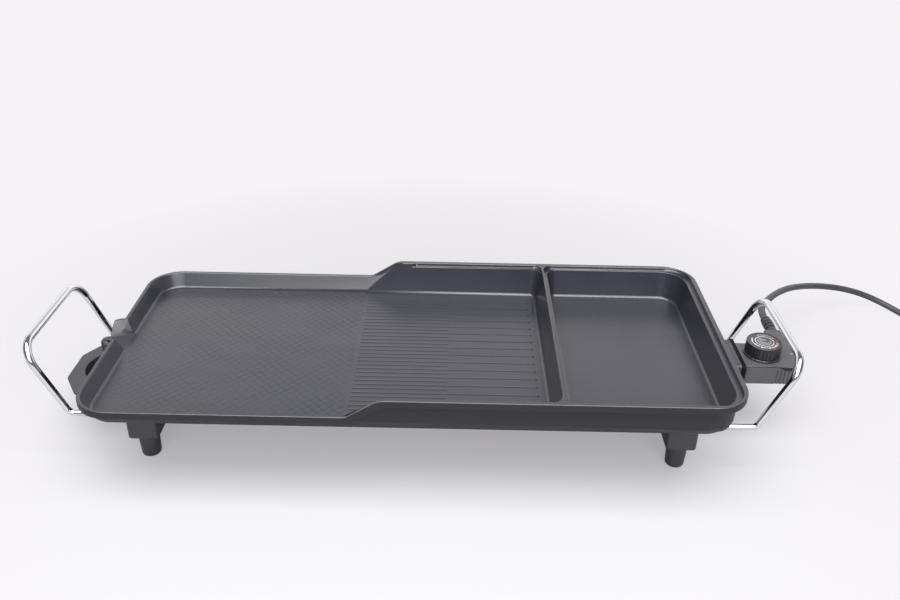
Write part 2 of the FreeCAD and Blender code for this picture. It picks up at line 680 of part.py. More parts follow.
groove = round_tube("element_groove", tube_points, tube_bends, value("TubeRadius + SeatGap"))
well = box("probe_well", ("WellStart", "TubeRight"), ("-WellWidth / 2", "WellWidth / 2"),
           ("Underside - WellHeight", "Floor - BaseThick / 2"))
well_bore = rod("well_bore", "X", "ProbeTip - ProbeRadius", "0", HEIGHT, "ProbeRadius + ProbeFit",
                "TubeRight - ProbeTip + 2 * ProbeRadius")
foot_places = [(i, j) for i in (-1, 1) for j in (-1, 1)]
foot_bosses = [
    rod("foot_boss", "Z", "%d * FootPlaceX" % i, "%d * FootPlaceY" % j, "Underside - FootBossHeight",
        "BossRadius", "FootBossHeight + BaseThick / 2")
    for i, j in foot_places
]
socket_bosses = [
    rod("socket_boss", "Z", "SocketScrewPlace", "%d * SocketScrewSpan" % j, "TabTop",
        "BossRadius", "Floor - BaseThick / 2 - TabTop")
    for j in (-1, 1)
]

# The hollows: the drafted griddle, the steeper deep end and the seat for the lid.
ABOVE = "HighRim + 5"


def hollow(name, corners, low, high, draft):
    """A drafted cavity with a rounded foot."""
    block = prism(name + "_block", "XY", corners, low, high, draft)
    return round_edges(name, block, "FloorRound", lambda edge: lies_at(edge, Z_AXIS, value(low)))


SIDE = "PanWidth / 2 - SideInset"
low_hollow = hollow("low_hollow", plan("-LowFoot", "0", "LowInset - PanWidth / 2", "PanWidth / 2 - LowInset",
                                       "PanCorner - LowInset"), "Floor", "LowRim", "LowDraft")
low_mouth = prism("low_mouth", "XY", plan(
    "LowLip - PanEnd", "0", "LowLip - PanWidth / 2", "PanWidth / 2 - LowLip", "PanCorner - LowLip",
), "LowRim", ABOVE)
lean = prism("lean", "XZ", [
    ("-PanLength", "Floor - BaseThick / 2", None),
    ("JogFoot - JogRun * BaseThick / 2 / (HighRim - Floor)", "Floor - BaseThick / 2", None),
    ("JogFoot + JogRun + JogRun * 5 / (HighRim - Floor)", ABOVE, None),
    ("-PanLength", ABOVE, None),
], "-PanWidth", "PanWidth")
low_cut = common("low_cut", fuse("low_blocks", low_hollow, low_mouth), lean)
griddle_hollow = hollow("griddle_hollow", plan(
    "-PanLength / 4", "DividerLeft - WallLean", "-(%s)" % SIDE, SIDE, "DividerCorner",
), "Floor", ABOVE, "WallDraft")


def deep_plan(left, right, side, corner, end_corner):
    """An outline of the deep end: small corners beside the divider, large ones at the end."""
    return [
        (left, "-(%s)" % side, corner), (right, "-(%s)" % side, end_corner),
        (right, side, end_corner), (left, side, corner),
    ]


deep_hollow = hollow("deep_hollow", deep_plan(
    "DividerRight + DividerLedge + WallLean", "PanEnd - EndInset", SIDE, "DividerCorner", "DeepCorner",
), "Floor", ABOVE, "WallDraft")
SEAT_SIDE = "PanWidth / 2 - SeatInset"
griddle_seat = prism("griddle_seat", "XY", plan(
    "SeatStart", "DividerLeft", "-(%s)" % SEAT_SIDE, SEAT_SIDE, "LedgeCorner"), "SeatHeight", ABOVE)
deep_seat = prism("deep_seat", "XY", deep_plan(
    "DividerRight", "PanEnd - SeatInset", SEAT_SIDE, "LedgeCorner", "SeatCorner"), "SeatHeight", ABOVE)


# Ribs: long ones across the griddle, shorter ones between them.
def rib(name, end, place):
    """A rib with sloping flanks and ends; it is rooted below the floor by its own height."""
    wedge = doc.addObject("Part::Wedge", name)
    bind(wedge, Xmin="0", X2min="2 * RibHeight", Xmax="%s - RibStart" % end,
         X2max="%s - RibStart - 2 * RibHeight" % end)
    bind(wedge, Ymin="0", Ymax="2 * RibHeight")
    bind(wedge, Zmin="0", Z2min="RibHeight", Zmax="RibWidth + RibHeight", Z2max="RibWidth")
    return at(wedge, "RibStart", "%s + (RibWidth + RibHeight) / 2" % place, "Floor - RibHeight",
              Rotation(X_AXIS, 90))


rib_count = int(value("RibCount"))
ribs = []
for i in range(rib_count):
    offset = "RibPlace + (%d - (RibCount - 1) / 2) * RibPitch" % i
    ribs.append(rib("long_rib", "RibEnd", offset))
    if i < rib_count - 1:
        ribs.append(rib("short_rib", "ShortRibEnd", offset + " + RibPitch / 2"))

# Screw holes: each is as wide and as deep as the screw that it takes.
clip_places = [(i, j) for i in (-1, 1) for j in (-1, 1)]


def clip_screw_places():
    """Two screws beside the tube at every clip."""
    return [("%d * ClipPlace" % i, "%d * TubeSpan + %d * ClipScrewOffset" % (j, k))
            for i, j in clip_places for k in (-1, 1)]


def runner_screw_places(side):
    """One screw near each end of a runner's flange."""
    across = "%d * (RunnerFace + RunnerThick / 2 + RunnerFlange / 2)" % side
    return [("-RunnerStart + RunnerScrewIn", across), ("-RunnerEnd - RunnerScrewIn", across)]


screw_holes = [
    rod("clip_hole", "Z", x, y, "RidgeFace", "ClipScrewRadius", "ClipScrewDepth")
    for x, y in clip_screw_places()
]
screw_holes += [
    rod("runner_hole", "Z", x, y, "Underside", "ClipScrewRadius", "ClipScrewDepth")
    for side in (-1, 1) for x, y in runner_screw_places(side)
]
screw_holes += [
    rod("foot_hole", "Z", "%d * FootPlaceX" % i, "%d * FootPlaceY" % j, "Underside - FootBossHeight",
        "FootShankRadius", "FootBossHeight - 1")
    for i, j in foot_places
]
screw_holes += [
    rod("socket_hole", "Z", "SocketScrewPlace", "%d * SocketScrewSpan" % j, "TabTop",
        "ClipScrewRadius", "Underside - TabTop")
    for j in (-1, 1)
]
casting = fuse("casting", rim, hull, beak, nose, ridge, well, *foot_bosses, *socket_bosses)
hollowed = cut("hollowed", casting, low_cut, griddle_hollow, deep_hollow, griddle_seat, deep_seat,
               channel, channel_foot)
ribbed = fuse("ribbed", hollowed, *ribs)
node("pan", cut("pan_casting", ribbed, groove, well_bore, *screw_holes))

# ---------------------------------------------------------------- heating element
node("heating_element", round_tube("element_tube", tube_points, tube_bends, value("TubeRadius")))
node("terminal_pins", *[
    rod("terminal_pin", "X", "TubeRight", "%d * TerminalSpan" % j, HEIGHT, "PinRadius", "PinEnd - TubeRight")
    for j in (-1, 1)
])


def clip(i, j):
    """A saddle bent over the tube, with a flat ear and a screw hole on both sides."""
    x, y = "%d * ClipPlace" % i, "%d * TubeSpan" % j
    ends = ("%s - ClipWidth / 2" % x, "%s + ClipWidth / 2" % x)
    ear = "ClipScrewOffset + 2 * ClipScrewRadius + 0.5"
    strap = box("clip_strap", ends, (y + " - (%s)" % ear, y + " + " + ear), ("RidgeFace - ClipThick", "RidgeFace"))
    saddle = rod("clip_saddle", "X", ends[0], y, HEIGHT, "TubeRadius + ClipThick", "ClipWidth")
    tunnel = rod("clip_tunnel", "X", ends[0], y, HEIGHT, "TubeRadius", "ClipWidth")
    above = box("clip_above", ends, (y + " - TubeSpan / 2", y + " + TubeSpan / 2"), ("RidgeFace", "Floor"))
    holes = [
        rod("clip_screw_hole", "Z", x, y + " + %d * ClipScrewOffset" % k, "RidgeFace - ClipThick",
            "ClipScrewRadius + ShankGap", "ClipThick")
        for k in (-1, 1)
    ]
    return cut("clip", fuse("clip_blank", strap, saddle), tunnel, above, *holes)


node("element_clips", *[clip(i, j) for i, j in clip_places])
node("clip_screws", *[
    screw("clip_screw", x, y, "RidgeFace - ClipThick", "SmallHeadRadius - 0.4", "SmallHeadHeight",
          "ClipScrewRadius", "ClipThick + ClipScrewDepth")
    for x, y in clip_screw_places()
])

# ---------------------------------------------------------------- socket housing
SOCKET_Y = ("-SocketWidth / 2", "SocketWidth / 2")


def rounded_bar(name, x, half_width, low, high, radius):
    """A bar along X with rounded long edges."""
    return prism(name, "YZ", [
        ("-(%s)" % half_width, low, radius), (half_width, low, radius),
        (half_width, high, radius), ("-(%s)" % half_width, high, radius),
    ], x[0], x[1])


socket_shell = rounded_bar("socket_shell", ("SocketStart", "SocketEnd"), "SocketWidth / 2",
                           "SocketBottom", "SocketBottom + SocketHeight", "SocketRound")
socket_tab = box("socket_tab", ("SocketStart - TabLength", "SocketStart + SocketWall"),
                 ("-SocketScrewSpan - 8", "SocketScrewSpan + 8"), ("SocketBottom", "TabTop"))
tab_round = round_edges("tab_round", socket_tab, "BossRadius", lambda edge: runs_along(edge, Z_AXIS)
                        and lies_at(edge, X_AXIS, value("SocketStart - TabLength")))
socket_room = rounded_bar("socket_room", ("SocketStart + SocketWall", "SocketEnd"), "SocketWidth / 2 - SocketWall",
                          "TabTop", "SocketBottom + SocketHeight - SocketWall", "SocketRound / 2")
socket_bores = [
    rod("socket_bore", "X", "SocketStart", "%d * TerminalSpan" % j, HEIGHT, radius, "SocketWall")
    for j, radius in ((-1, "PinRadius + ShankGap"), (0, "ProbeRadius + ShankGap"), (1, "PinRadius + ShankGap"))
]
tab_holes = [
    rod("tab_hole", "Z", "SocketScrewPlace", "%d * SocketScrewSpan" % j, "SocketBottom",
        "ClipScrewRadius + ShankGap", "TabThick")
    for j in (-1, 1)
]
node("socket_housing", cut("socket_moulding", fuse("socket_blank", socket_shell, tab_round),
                           socket_room, *socket_bores, *tab_holes))
node("socket_screws", *[
    screw("socket_screw", "SocketScrewPlace", "%d * SocketScrewSpan" % j, "SocketBottom",
          "SmallHeadRadius", "SmallHeadHeight", "ClipScrewRadius", "TabThick + Underside - TabTop")
    for j in (-1, 1)
])

# ---------------------------------------------------------------- feet and wire handles


def foot(label, i, j):
    """A bakelite foot: a block under the pan that grips the handle wire, on a round leg."""
    x, y = "%d * FootPlaceX" % i, "%d * FootPlaceY" % j
    block = box(label + "_block", (x + " - BlockLength / 2", x + " + BlockLength / 2"),
                (y + " - BlockWidth / 2", y + " + BlockWidth / 2"), ("BlockBottom", "Underside"))
    eased = round_edges(label + "_eased", block, "BlockRound", lambda edge: runs_along(edge, Z_AXIS)
                        or lies_at(edge, Z_AXIS, value("BlockBottom")))
    leg = cone(label + "_leg", "Z", x, y, "0", "LegEndRadius", "LegTopRadius", "BlockBottom + BlockRound")
    stub = round_edges(label + "_stub", leg, "LegRound", lambda edge: lies_at(edge, Z_AXIS, 0))
    counterbore = rod(label + "_counterbore", "Z", x, y, "0", "FootBoreRadius", "BlockBottom")
    hole = rod(label + "_hole", "Z", x, y, "BlockBottom", "FootShankRadius + ShankGap", "Underside - BlockBottom")
    recess = rod(label + "_recess", "Z", x, y, "Underside - FootBossHeight - BossGap",
                 "BossRadius + BossGap", "FootBossHeight + BossGap")
    grip_start = "%d * (RodEnd - BossGap)" % i
    grip = rod(label + "_grip", "X", grip_start, y, "RodHeight", "RodRadius", "RodGrip + BossGap")
    if i < 0:
        bind(grip, Placement__Base__x="-BlockFace")
    return cut(label, fuse(label + "_blank", eased, stub), counterbore, hole, recess, grip)


for i, end in ((-1, "left"), (1, "right")):
    for j, side in ((-1, "front"), (1, "rear")):
        node("foot_%s_%s" % (side, end), foot("%s_%s" % (side, end), i, j))
node("foot_screws", *[
    screw("foot_screw", "%d * FootPlaceX" % i, "%d * FootPlaceY" % j, "BlockBottom",
          "FootHeadRadius", "FootHeadHeight", "FootShankRadius", "Underside - 1 - BlockBottom")
    for i, j in foot_places
])


def handle(label, i):
    """A bent wire: out of both feet, up at a slant and across as the grip."""
    half = value("FootPlaceY")
    low, high = value("RodHeight"), value("HandleTop")
    inner, knee, outer = i * value("RodEnd"), i * value("HandleKnee"), i * value("HandleReach")
    points = [
        Vector(inner, -half, low), Vector(knee, -half, low), Vector(outer, -half, high),
        Vector(outer, half, high), Vector(knee, half, low), Vector(inner, half, low),
    ]
    bends = [value(name) for name in ("KneeRadius", "GripRadius", "GripRadius", "KneeRadius")]
    return round_tube(label + "_wire", points, bends, value("RodRadius"))


for i, end in ((-1, "left"), (1, "right")):
    node("handle_" + end, handle(end, i))

# ---------------------------------------------------------------- grease tray on its runners
tray_plate = prism("tray_plate", "XY", [
    ("-TrayFront", "TrayCutAcross - TrayWidth / 2", "TrayCorner"),
    ("TrayCutAlong - TrayFront", "-TrayWidth / 2", "TrayCorner"), ("-TrayShoulder", "-TrayWidth / 2", "TrayRound"),
    ("-TrayShoulder", "-TrayTongue / 2", "TrayRound"), ("-TrayBack", "-TrayTongue / 2", "TrayRound"),
    ("-TrayBack", "TrayTongue / 2", "TrayRound"), ("-TrayShoulder", "TrayTongue / 2", "TrayRound"),
    ("-TrayShoulder", "TrayWidth / 2", "TrayRound"), ("TrayCutAlong - TrayFront", "TrayWidth / 2", "TrayCorner"),
    ("-TrayFront", "TrayWidth / 2 - TrayCutAcross", "TrayCorner"),
], "TrayBottom", "TrayTop")
cup_blank = rod("cup_blank", "Z", "-CupPlace", "CupOffset", "TrayTop - CupDepth - CupWall",
                "CupRadius + CupWall", "CupDepth + CupWall")
cup_outside = round_edges("cup_outside", cup_blank, "CupFoot",
                          lambda edge: lies_at(edge, Z_AXIS, value("TrayTop - CupDepth - CupWall")))
cup_hollow = rod("cup_hollow", "Z", "-CupPlace", "CupOffset", "TrayTop - CupDepth", "CupRadius", "CupDepth")
cup_inside = round_edges("cup_inside", cup_hollow, "CupFoot - CupWall",
                         lambda edge: lies_at(edge, Z_AXIS, value("TrayTop - CupDepth")))
node("drip_tray", cut("tray", fuse("tray_blank", tray_plate, cup_outside), cup_inside))


def runner(label, side):
    """A channel under the pan that the tray's edge slides in, with a flange above."""
    def across(offset):
        return "%d * (RunnerFace + %s)" % (side, offset)
    flange_end = across("RunnerFlange")
    face, back, lip = across("0"), across("RunnerThick"), across("-RunnerLip")
    low = "TrayBottom - RunnerGap"
    high = "TrayTop + RunnerGap"
    section = [
        (face, "Underside", None), (flange_end, "Underside", None),
        (flange_end, "Underside - RunnerThick", None), (back, "Underside - RunnerThick", None),
        (back, low + " - RunnerThick", None), (lip, low + " - RunnerThick", None),
        (lip, low, None), (face, low, None),
        (face, high, None), (lip, high, None),
        (lip, high + " + RunnerThick", None), (face, high + " + RunnerThick", None),
    ]
    bar = prism(label + "_bar", "YZ", section, "-RunnerStart", "-RunnerEnd")
    holes = [
        rod(label + "_hole", "Z", x, y, "Underside - RunnerThick", "ClipScrewRadius + ShankGap", "RunnerThick")
        for x, y in runner_screw_places(side)
    ]
    return cut(label, bar, *holes)


node("runner_front", runner("front_runner", -1))
node("runner_rear", runner("rear_runner", 1))
node("runner_screws", *[
    screw("runner_screw", x, y, "Underside - RunnerThick", "SmallHeadRadius", "SmallHeadHeight",
          "ClipScrewRadius", "RunnerThick + ClipScrewDepth")
    for side in (-1, 1) for x, y in runner_screw_places(side)
])

# ---------------------------------------------------------------- controller case


def case_outline(inset):
    """The case seen from above: a slanted right side and an arm that runs back to the cord."""
    def turned_out(radius):
        return "%s - %s" % (radius, inset)
    return [
        ("CaseStart + %s" % inset, "CaseFront + %s" % inset, None),
        ("CaseEnd - CaseRake - %s * 0.87" % inset, "CaseFront + %s" % inset, turned_out("CaseNose")),
        ("CaseEnd - %s" % inset, "(CaseFront + CaseBack) / 2 + 12", turned_out("CaseBow")),
        ("CaseEnd - %s" % inset, "ArmBack - %s" % inset, turned_out("CaseRound")),
        ("CaseEnd - ArmWidth + %s" % inset, "ArmBack - %s" % inset, turned_out("CaseRound")),
        ("CaseEnd - ArmWidth + %s" % inset, "CaseBack - %s" % inset, "CaseRound + %s" % inset),
        ("CaseStart + %s" % inset, "CaseBack - %s" % inset, None),
    ]


case_screw_places = [
    ("DialPlaceX - 2", "CaseFront + CaseWall + BossRadius - 1"),
    ("DialPlaceX - 2", "CaseBack - CaseWall - BossRadius + 1"),
    ("CaseEnd - ArmWidth / 2", "ArmBack - CaseWall - BossRadius"),
]
base_block = prism("base_block", "XY", case_outline("0"), "CaseBottom", "CoverBottom")
base_room = prism("base_room", "XY", case_outline("CaseWall"), "StatBottom", "CoverBottom")
base_posts = [
    rod("base_post", "Z", x, y, "CaseBottom", "BossRadius - 1.5", "CoverBottom - CaseBottom")
    for x, y in case_screw_places
]
grip_grooves = [
    rod("grip_groove", "Z", "GroovePlace + (%d - (GrooveCount - 1) / 2) * GroovePitch" % i, "CaseFront",
        "CaseBottom", "GrooveDepth", "CoverBottom - CaseBottom")
    for i in range(int(value("GrooveCount")))
]
base_bores = [
    rod("base_bore", "X", "CaseStart", "%d * TerminalSpan" % j, HEIGHT, radius, "CaseWall")
    for j, radius in ((-1, "SleeveRadius"), (0, "ProbeRadius"), (1, "SleeveRadius"))
]
base_screw_holes = []
for x, y in case_screw_places:
    base_screw_holes.append(rod("base_shank_hole", "Z", x, y, "CaseBottom", "CaseScrewRadius + ShankGap",
                                "CoverBottom - CaseBottom"))
    base_screw_holes.append(rod("base_head_hole", "Z", x, y, "CaseBottom", "SmallHeadRadius - 0.1",
                                "SmallHeadHeight"))
base_shell = fuse("base_shell", cut("base_open", base_block, base_room), *base_posts)
node("controller_base", cut("base", base_shell, *grip_grooves, *base_bores, *base_screw_holes))

cover_block = prism("cover_block", "XY", case_outline("0"), "CoverBottom", "CaseTop")
cover_eased = round_edges("cover_eased", cover_block, "EdgeRound",
                          lambda edge: lies_at(edge, Z_AXIS, value("CaseTop")))
shaft_hole = rod("shaft_hole", "Z", "DialPlaceX", "DialPlaceY", "CoverBottom", "ShaftRadius + BossGap",
                 "CoverThick")
cover_holes = [
    rod("cover_hole", "Z", x, y, "CoverBottom", "CaseScrewRadius", "CoverThick - 1.5")
    for x, y in case_screw_places
]
node("controller_cover", cut("cover", cover_eased, shaft_hole, *cover_holes))
node("controller_screws", *[
    screw("case_screw", x, y, "CaseBottom + SmallHeadHeight", "SmallHeadRadius - 0.2", "SmallHeadHeight - 0.2",
          "CaseScrewRadius", "CaseTop - 1.5 - CaseBottom - SmallHeadHeight")
    for x, y in case_screw_places
])

# ---------------------------------------------------------------- plug nose, contacts and probe
plate = rounded_bar("plate", ("PlateStart", "CaseStart"), "PlateWidth / 2",
                    "CaseMiddle - PlateHeight / 2", "CaseMiddle + PlateHeight / 2", "SocketRound")
tongue = rounded_bar("nose_tongue", ("NoseStart", "CaseStart"), "NoseWidth / 2",
                     "CaseMiddle - NoseHeight / 2", "CaseMiddle + NoseHeight / 2", "SocketRound / 2")
nose_bores = [
    rod("nose_bore", "X", "NoseStart", "%d * TerminalSpan" % j, HEIGHT, radius, "CaseStart - NoseStart")
    for j, radius in ((-1, "SleeveRadius"), (0, "ProbeRadius"), (1, "SleeveRadius"))
]
node("nose_plate", cut("nose_moulding", fuse("nose_blank_block", plate, tongue), *nose_bores))
sleeves = []
for j in (-1, 1):
    barrel = rod("sleeve_barrel", "X", "NoseStart", "%d * TerminalSpan" % j, HEIGHT, "SleeveRadius",
                 "InnerEnd - NoseStart")
    bore = rod("sleeve_bore", "X", "NoseStart", "%d * TerminalSpan" % j, HEIGHT, "PinRadius + SleeveFit",
               "PinEnd + 1 - NoseStart")
    sleeves.append(cut("sleeve", barrel, bore))
node("contact_sleeves", *sleeves)
probe_bar = rod("probe_bar", "X", "ProbeTip", "0", HEIGHT, "ProbeRadius", "StatStart - ProbeTip")
node("probe_rod", round_edges("probe", probe_bar, "ProbeRadius * 0.6",
                              lambda edge: lies_at(edge, X_AXIS, value("ProbeTip"))))
stat_block = box("stat_block", ("StatStart", "StatStart + StatLength"),
                 ("DialPlaceY - StatWidth / 2", "DialPlaceY + StatWidth / 2"), ("StatBottom", "StatTop"))
stat_bush = rod("stat_bush", "Z", "DialPlaceX", "DialPlaceY", "StatTop", "BushRadius", "BushHeight")
bush_bore = rod("bush_bore", "Z", "DialPlaceX", "DialPlaceY", "StatTop", "ShaftRadius + ShaftFit", "BushHeight")
node("thermostat", cut("stat", fuse("stat_blank", stat_block, stat_bush), bush_bore))
node("contact_blades", *[
    box("blade", ("InnerEnd", "InnerEnd + BladeLength"), span, (HEIGHT + " - BladeThick / 2",
                                                                HEIGHT + " + BladeThick / 2"))
    for span in (("-TerminalSpan - BladeThick", "DialPlaceY - StatWidth / 2"),
                 ("DialPlaceY + StatWidth / 2", "TerminalSpan + BladeThick"))
])

# ---------------------------------------------------------------- dial
shaft = rod("shaft", "Z", "DialPlaceX", "DialPlaceY", "StatTop + BossGap", "ShaftRadius",
            "DialBottom + ShaftGrip - StatTop - BossGap")
node("dial_shaft", shaft)


def spun(name, corners):
    """A profile in the XZ plane turned about the dial's axis."""
    solid = doc.addObject("Part::Revolution", name)
    solid.Source = outline(name + "_profile", "XZ", "0", corners)
    solid.Axis = Z_AXIS
    solid.Angle = 360
    solid.Solid = True
    return at(solid, "DialPlaceX", "DialPlaceY", "DialBottom")


knob_blank = spun("knob_blank", [
    ("0", "0", None), ("DialSkirt", "0", None), ("DialSkirt", "SkirtHeight", "SkirtHeight / 4"),
    ("DialRadius + 0.4", "SkirtHeight", None), ("DialRadius", "DialHeight", "DialEdge"),
    ("DialRadius - DialRim", "DialHeight", None), ("DialRadius - DialRim", "DialHeight - DialDish", None),
    ("0", "DialHeight - DialDish", None),
])
flute_count = int(value("FluteCount"))
flutes = []
for i in range(flute_count):
    angle = "360 * %d / FluteCount" % i
    flutes.append(rod(
        "flute", "Z", "DialPlaceX + (DialRadius + FluteDepth / 2) * cos(%s)" % angle,
        "DialPlaceY + (DialRadius + FluteDepth / 2) * sin(%s)" % angle,
        "DialBottom + SkirtHeight", "FluteDepth", "DialHeight - SkirtHeight - DialEdge"))
knob_bore = rod("knob_bore", "Z", "DialPlaceX", "DialPlaceY", "DialBottom", "ShaftRadius", "ShaftGrip")
node("dial_knob", cut("knob", knob_blank, knob_bore, *flutes))
node("dial_disc", rod("disc", "Z", "DialPlaceX", "DialPlaceY", "DialBottom + DialHeight - DialDish",
                      "DialRadius - DialRim - CapGap", "CapHeight"))

# ---------------------------------------------------------------- cord and plug
relief_ring = "ReliefLength / (2 * ReliefRings + 1)"
relief_corners = [("0", "0", None)]
for k in range(2 * int(value("ReliefRings")) + 1):
    depth = "ReliefGroove" if k % 2 else "0"
    near, far = "%d * %s" % (k, relief_ring), "%d * %s" % (k + 1, relief_ring)
    slope = "(ReliefRadius - ReliefEnd) / ReliefLength"
    relief_corners.append(("ReliefRadius - %s - %s * %s" % (depth, near, slope), near, None))
    relief_corners.append(("ReliefRadius - %s - %s * %s" % (depth, far, slope), far, None))
relief_corners.append(("0", "ReliefLength", None))
relief = doc.addObject("Part::Revolution", "relief")
relief.Source = outline("relief_profile", "XY", "0", relief_corners)
relief.Axis = Y_AXIS
relief.Angle = 360
relief.Solid = True
node("cord_relief", at(relief, "ReliefPlace", "ArmBack", "ReliefHeight"))

# The cord's route, chosen by hand: out of the relief, down in an arch and along the table.
CORD_ROUTE = [
    (428.5, 97, 87),
    (428.5, 115, 87),
    (434, 133, 86),
    (454, 160, 82),
    (475, 188, 76),
    (503, 220, 66),
    (538, 249, 54),
    (576, 273, 41),
    (613, 288, 29),
    (645, 291, 18.5),
    (670, 282, 10),
    (688, 264, 5.4),
    (698, 243, 4.6),
    (698, 221, 4.6),
]
ROUTE_SHARE = 0.45
cord_points = [Vector(*point) for point in CORD_ROUTE]
cord_bends = []
for before, corner, after in zip(cord_points, cord_points[1:], cord_points[2:]):
    turn = (corner - before).getAngle(after - corner)
    shorter = min((corner - before).Length, (after - corner).Length)
    cord_bends.append(ROUTE_SHARE * shorter / math.tan(turn / 2))
print("cord radii", [round(bend) for bend in cord_bends])
print("cord tube length %.0f" % route(cord_points, cord_bends).Length)
node("cord", round_tube("cord_tube", cord_points, cord_bends, value("CordRadius")))

# The spare length as a neat coil, two turns wide and two high, with straight leads.
end = cord_points[-1]
turn_radius = "(CoilRadius + CoilWidth / 2 - CordRadius - LeadInset)"
coil_x = "%r + %s" % (end.x, turn_radius)
coil_y = "%r - LeadLength" % end.y
ring = cut("coil_ring",
           rod("coil_outside", "Z", coil_x, coil_y, "0", "CoilRadius + CoilWidth / 2", "CoilHeight"),
           rod("coil_inside", "Z", coil_x, coil_y, "0", "CoilRadius - CoilWidth / 2", "CoilHeight"))
lead_in = rod("lead_in", "Y", repr(end.x), coil_y, "CordRadius + LeadInset", "CordRadius", "LeadLength")
plug_x, plug_y = "%s + %s" % (coil_x, turn_radius), coil_y + " + TailLength"
plug_z = "CoilHeight - CordRadius - LeadInset"
lead_out = rod("lead_out", "Y", plug_x, coil_y, plug_z, "CordRadius", "TailLength")
node("cord_coil", fuse("coil", ring, lead_in, lead_out))
plug_tail = cone("plug_tail", "Y", plug_x, plug_y, plug_z, "PlugTail", "PlugRadius", "PlugLength / 2")
plug_head = rod("plug_head", "Y", plug_x, plug_y + " + PlugLength / 2", plug_z, "PlugRadius", "PlugLength / 2")
node("plug_body", fuse("plug", plug_tail, plug_head))
node("plug_pins", *[
    rod("plug_pin", "Y", plug_x + " + %d * PlugPinSpan / 2" % i, plug_y + " + PlugLength", plug_z,
        "PlugPinRadius", "PlugPinLength")
    for i in (-1, 1)
])

# ---------------------------------------------------------------- check and write
doc.recompute()
faults = [thing.Name for thing in doc.Objects if {"Invalid", "Error"} & set(thing.State)]
for thing in NODES:
    if thing.Shape.isNull() or not thing.Shape.isValid() or not thing.Shape.Solids:
        faults.append(thing.Label)
if faults:
    raise RuntimeError("not built: %s" % ", ".join(faults))
for thing in NODES:
    thing.Shape.exportStep("parts/%s.step" % thing.Label)
    print("%-22s %2d solids %10.1f mm3" % (thing.Label, len(thing.Shape.Solids), thing.Shape.Volume))
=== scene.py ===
import math

import bmesh
import bpy
import numpy as np
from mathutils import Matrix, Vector


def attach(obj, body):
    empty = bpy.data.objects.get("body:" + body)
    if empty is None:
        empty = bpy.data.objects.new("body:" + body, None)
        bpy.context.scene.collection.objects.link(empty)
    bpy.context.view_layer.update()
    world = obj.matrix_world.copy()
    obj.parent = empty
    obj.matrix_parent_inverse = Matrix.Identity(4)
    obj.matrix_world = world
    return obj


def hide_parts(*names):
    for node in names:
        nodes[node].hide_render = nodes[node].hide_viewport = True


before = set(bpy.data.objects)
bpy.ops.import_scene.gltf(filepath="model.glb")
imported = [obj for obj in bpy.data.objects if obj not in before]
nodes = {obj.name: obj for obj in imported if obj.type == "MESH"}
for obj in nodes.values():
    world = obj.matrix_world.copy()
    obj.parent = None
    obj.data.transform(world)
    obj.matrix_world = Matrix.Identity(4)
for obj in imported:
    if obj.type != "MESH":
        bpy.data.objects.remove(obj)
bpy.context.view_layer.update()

MM = 0.001
# The model stands centred on its box, so the pan's middle lies this far along X.
PAN_X = -11.0 * MM

# ------------------------------------------------------------------ camera
# One plain 35 mm lens on a full frame, a little over the front of the table.
CAMERA_PLACE = (0.03127, -0.83907, 0.63869)
CAMERA_TURN = (60.328, -0.910, 0.803)
camera_data = bpy.data.cameras.new("camera")
camera_data.lens = 35.0
camera_data.sensor_width = 36.0
camera_data.clip_start = 0.05
camera_data.clip_end = 30.0
camera = bpy.data.objects.new("camera", camera_data)
camera.location = CAMERA_PLACE
camera.rotation_euler = [math.radians(angle) for angle in CAMERA_TURN]
bpy.context.collection.objects.link(camera)
bpy.context.scene.camera = camera
bpy.context.scene.view_settings.view_transform = "Standard"


# ------------------------------------------------------------------ mains lead
# A round rubber-sheathed lead. It leaves the controller's strain relief, falls in an arch to the
# table and runs on; the spare length is wound into a neat coil, two turns wide and two high.
def new_object(name, data):
    """Links a new object at the origin, unturned and unscaled."""
    made = bpy.data.objects.new(name, data)
    bpy.context.collection.objects.link(made)
    return made


def node_material(name, base, roughness, metallic=0.0):
    """A Principled material of one colour, roughness and metal, with its shader."""
    material = bpy.data.materials.new(name)
    material.use_nodes = True
    shader = material.node_tree.nodes["Principled BSDF"]
    shader.inputs["Base Color"].default_value = (*base, 1.0)
    shader.inputs["Roughness"].default_value = roughness
    shader.inputs["Metallic"].default_value = metallic
    return material, shader


def add_noise(material, scale, detail=3.0, rough=0.55):
    """A noise texture on the piece's own Object coordinates."""
    tree = material.node_tree
    source = tree.nodes.new("ShaderNodeTexCoord")
    noise = tree.nodes.new("ShaderNodeTexNoise")
    noise.inputs["Scale"].default_value = scale
    noise.inputs["Detail"].default_value = detail
    noise.inputs["Roughness"].default_value = rough
    tree.links.new(source.outputs["Object"], noise.inputs["Vector"])
    return noise.outputs["Fac"]


def spread(material, value, low, high, start=0.3, end=0.7):
    """Maps a value's span from start to end onto low to high, and holds it there outside."""
    tree = material.node_tree
    remap = tree.nodes.new("ShaderNodeMapRange")
    remap.inputs["From Min"].default_value = start
    remap.inputs["From Max"].default_value = end
    remap.inputs["To Min"].default_value = low
    remap.inputs["To Max"].default_value = high
    tree.links.new(value, remap.inputs["Value"])
    return remap.outputs["Result"]


def tint(material, value, dark, light):
    """A colour between two, by a 0 to 1 value."""
    tree = material.node_tree
    ramp = tree.nodes.new("ShaderNodeValToRGB")
    ramp.color_ramp.elements[0].position = 0.3
    ramp.color_ramp.elements[0].color = (*dark, 1.0)
    ramp.color_ramp.elements[1].position = 0.7
    ramp.color_ramp.elements[1].color = (*light, 1.0)
    tree.links.new(value, ramp.inputs["Fac"])
    return ramp.outputs["Color"]


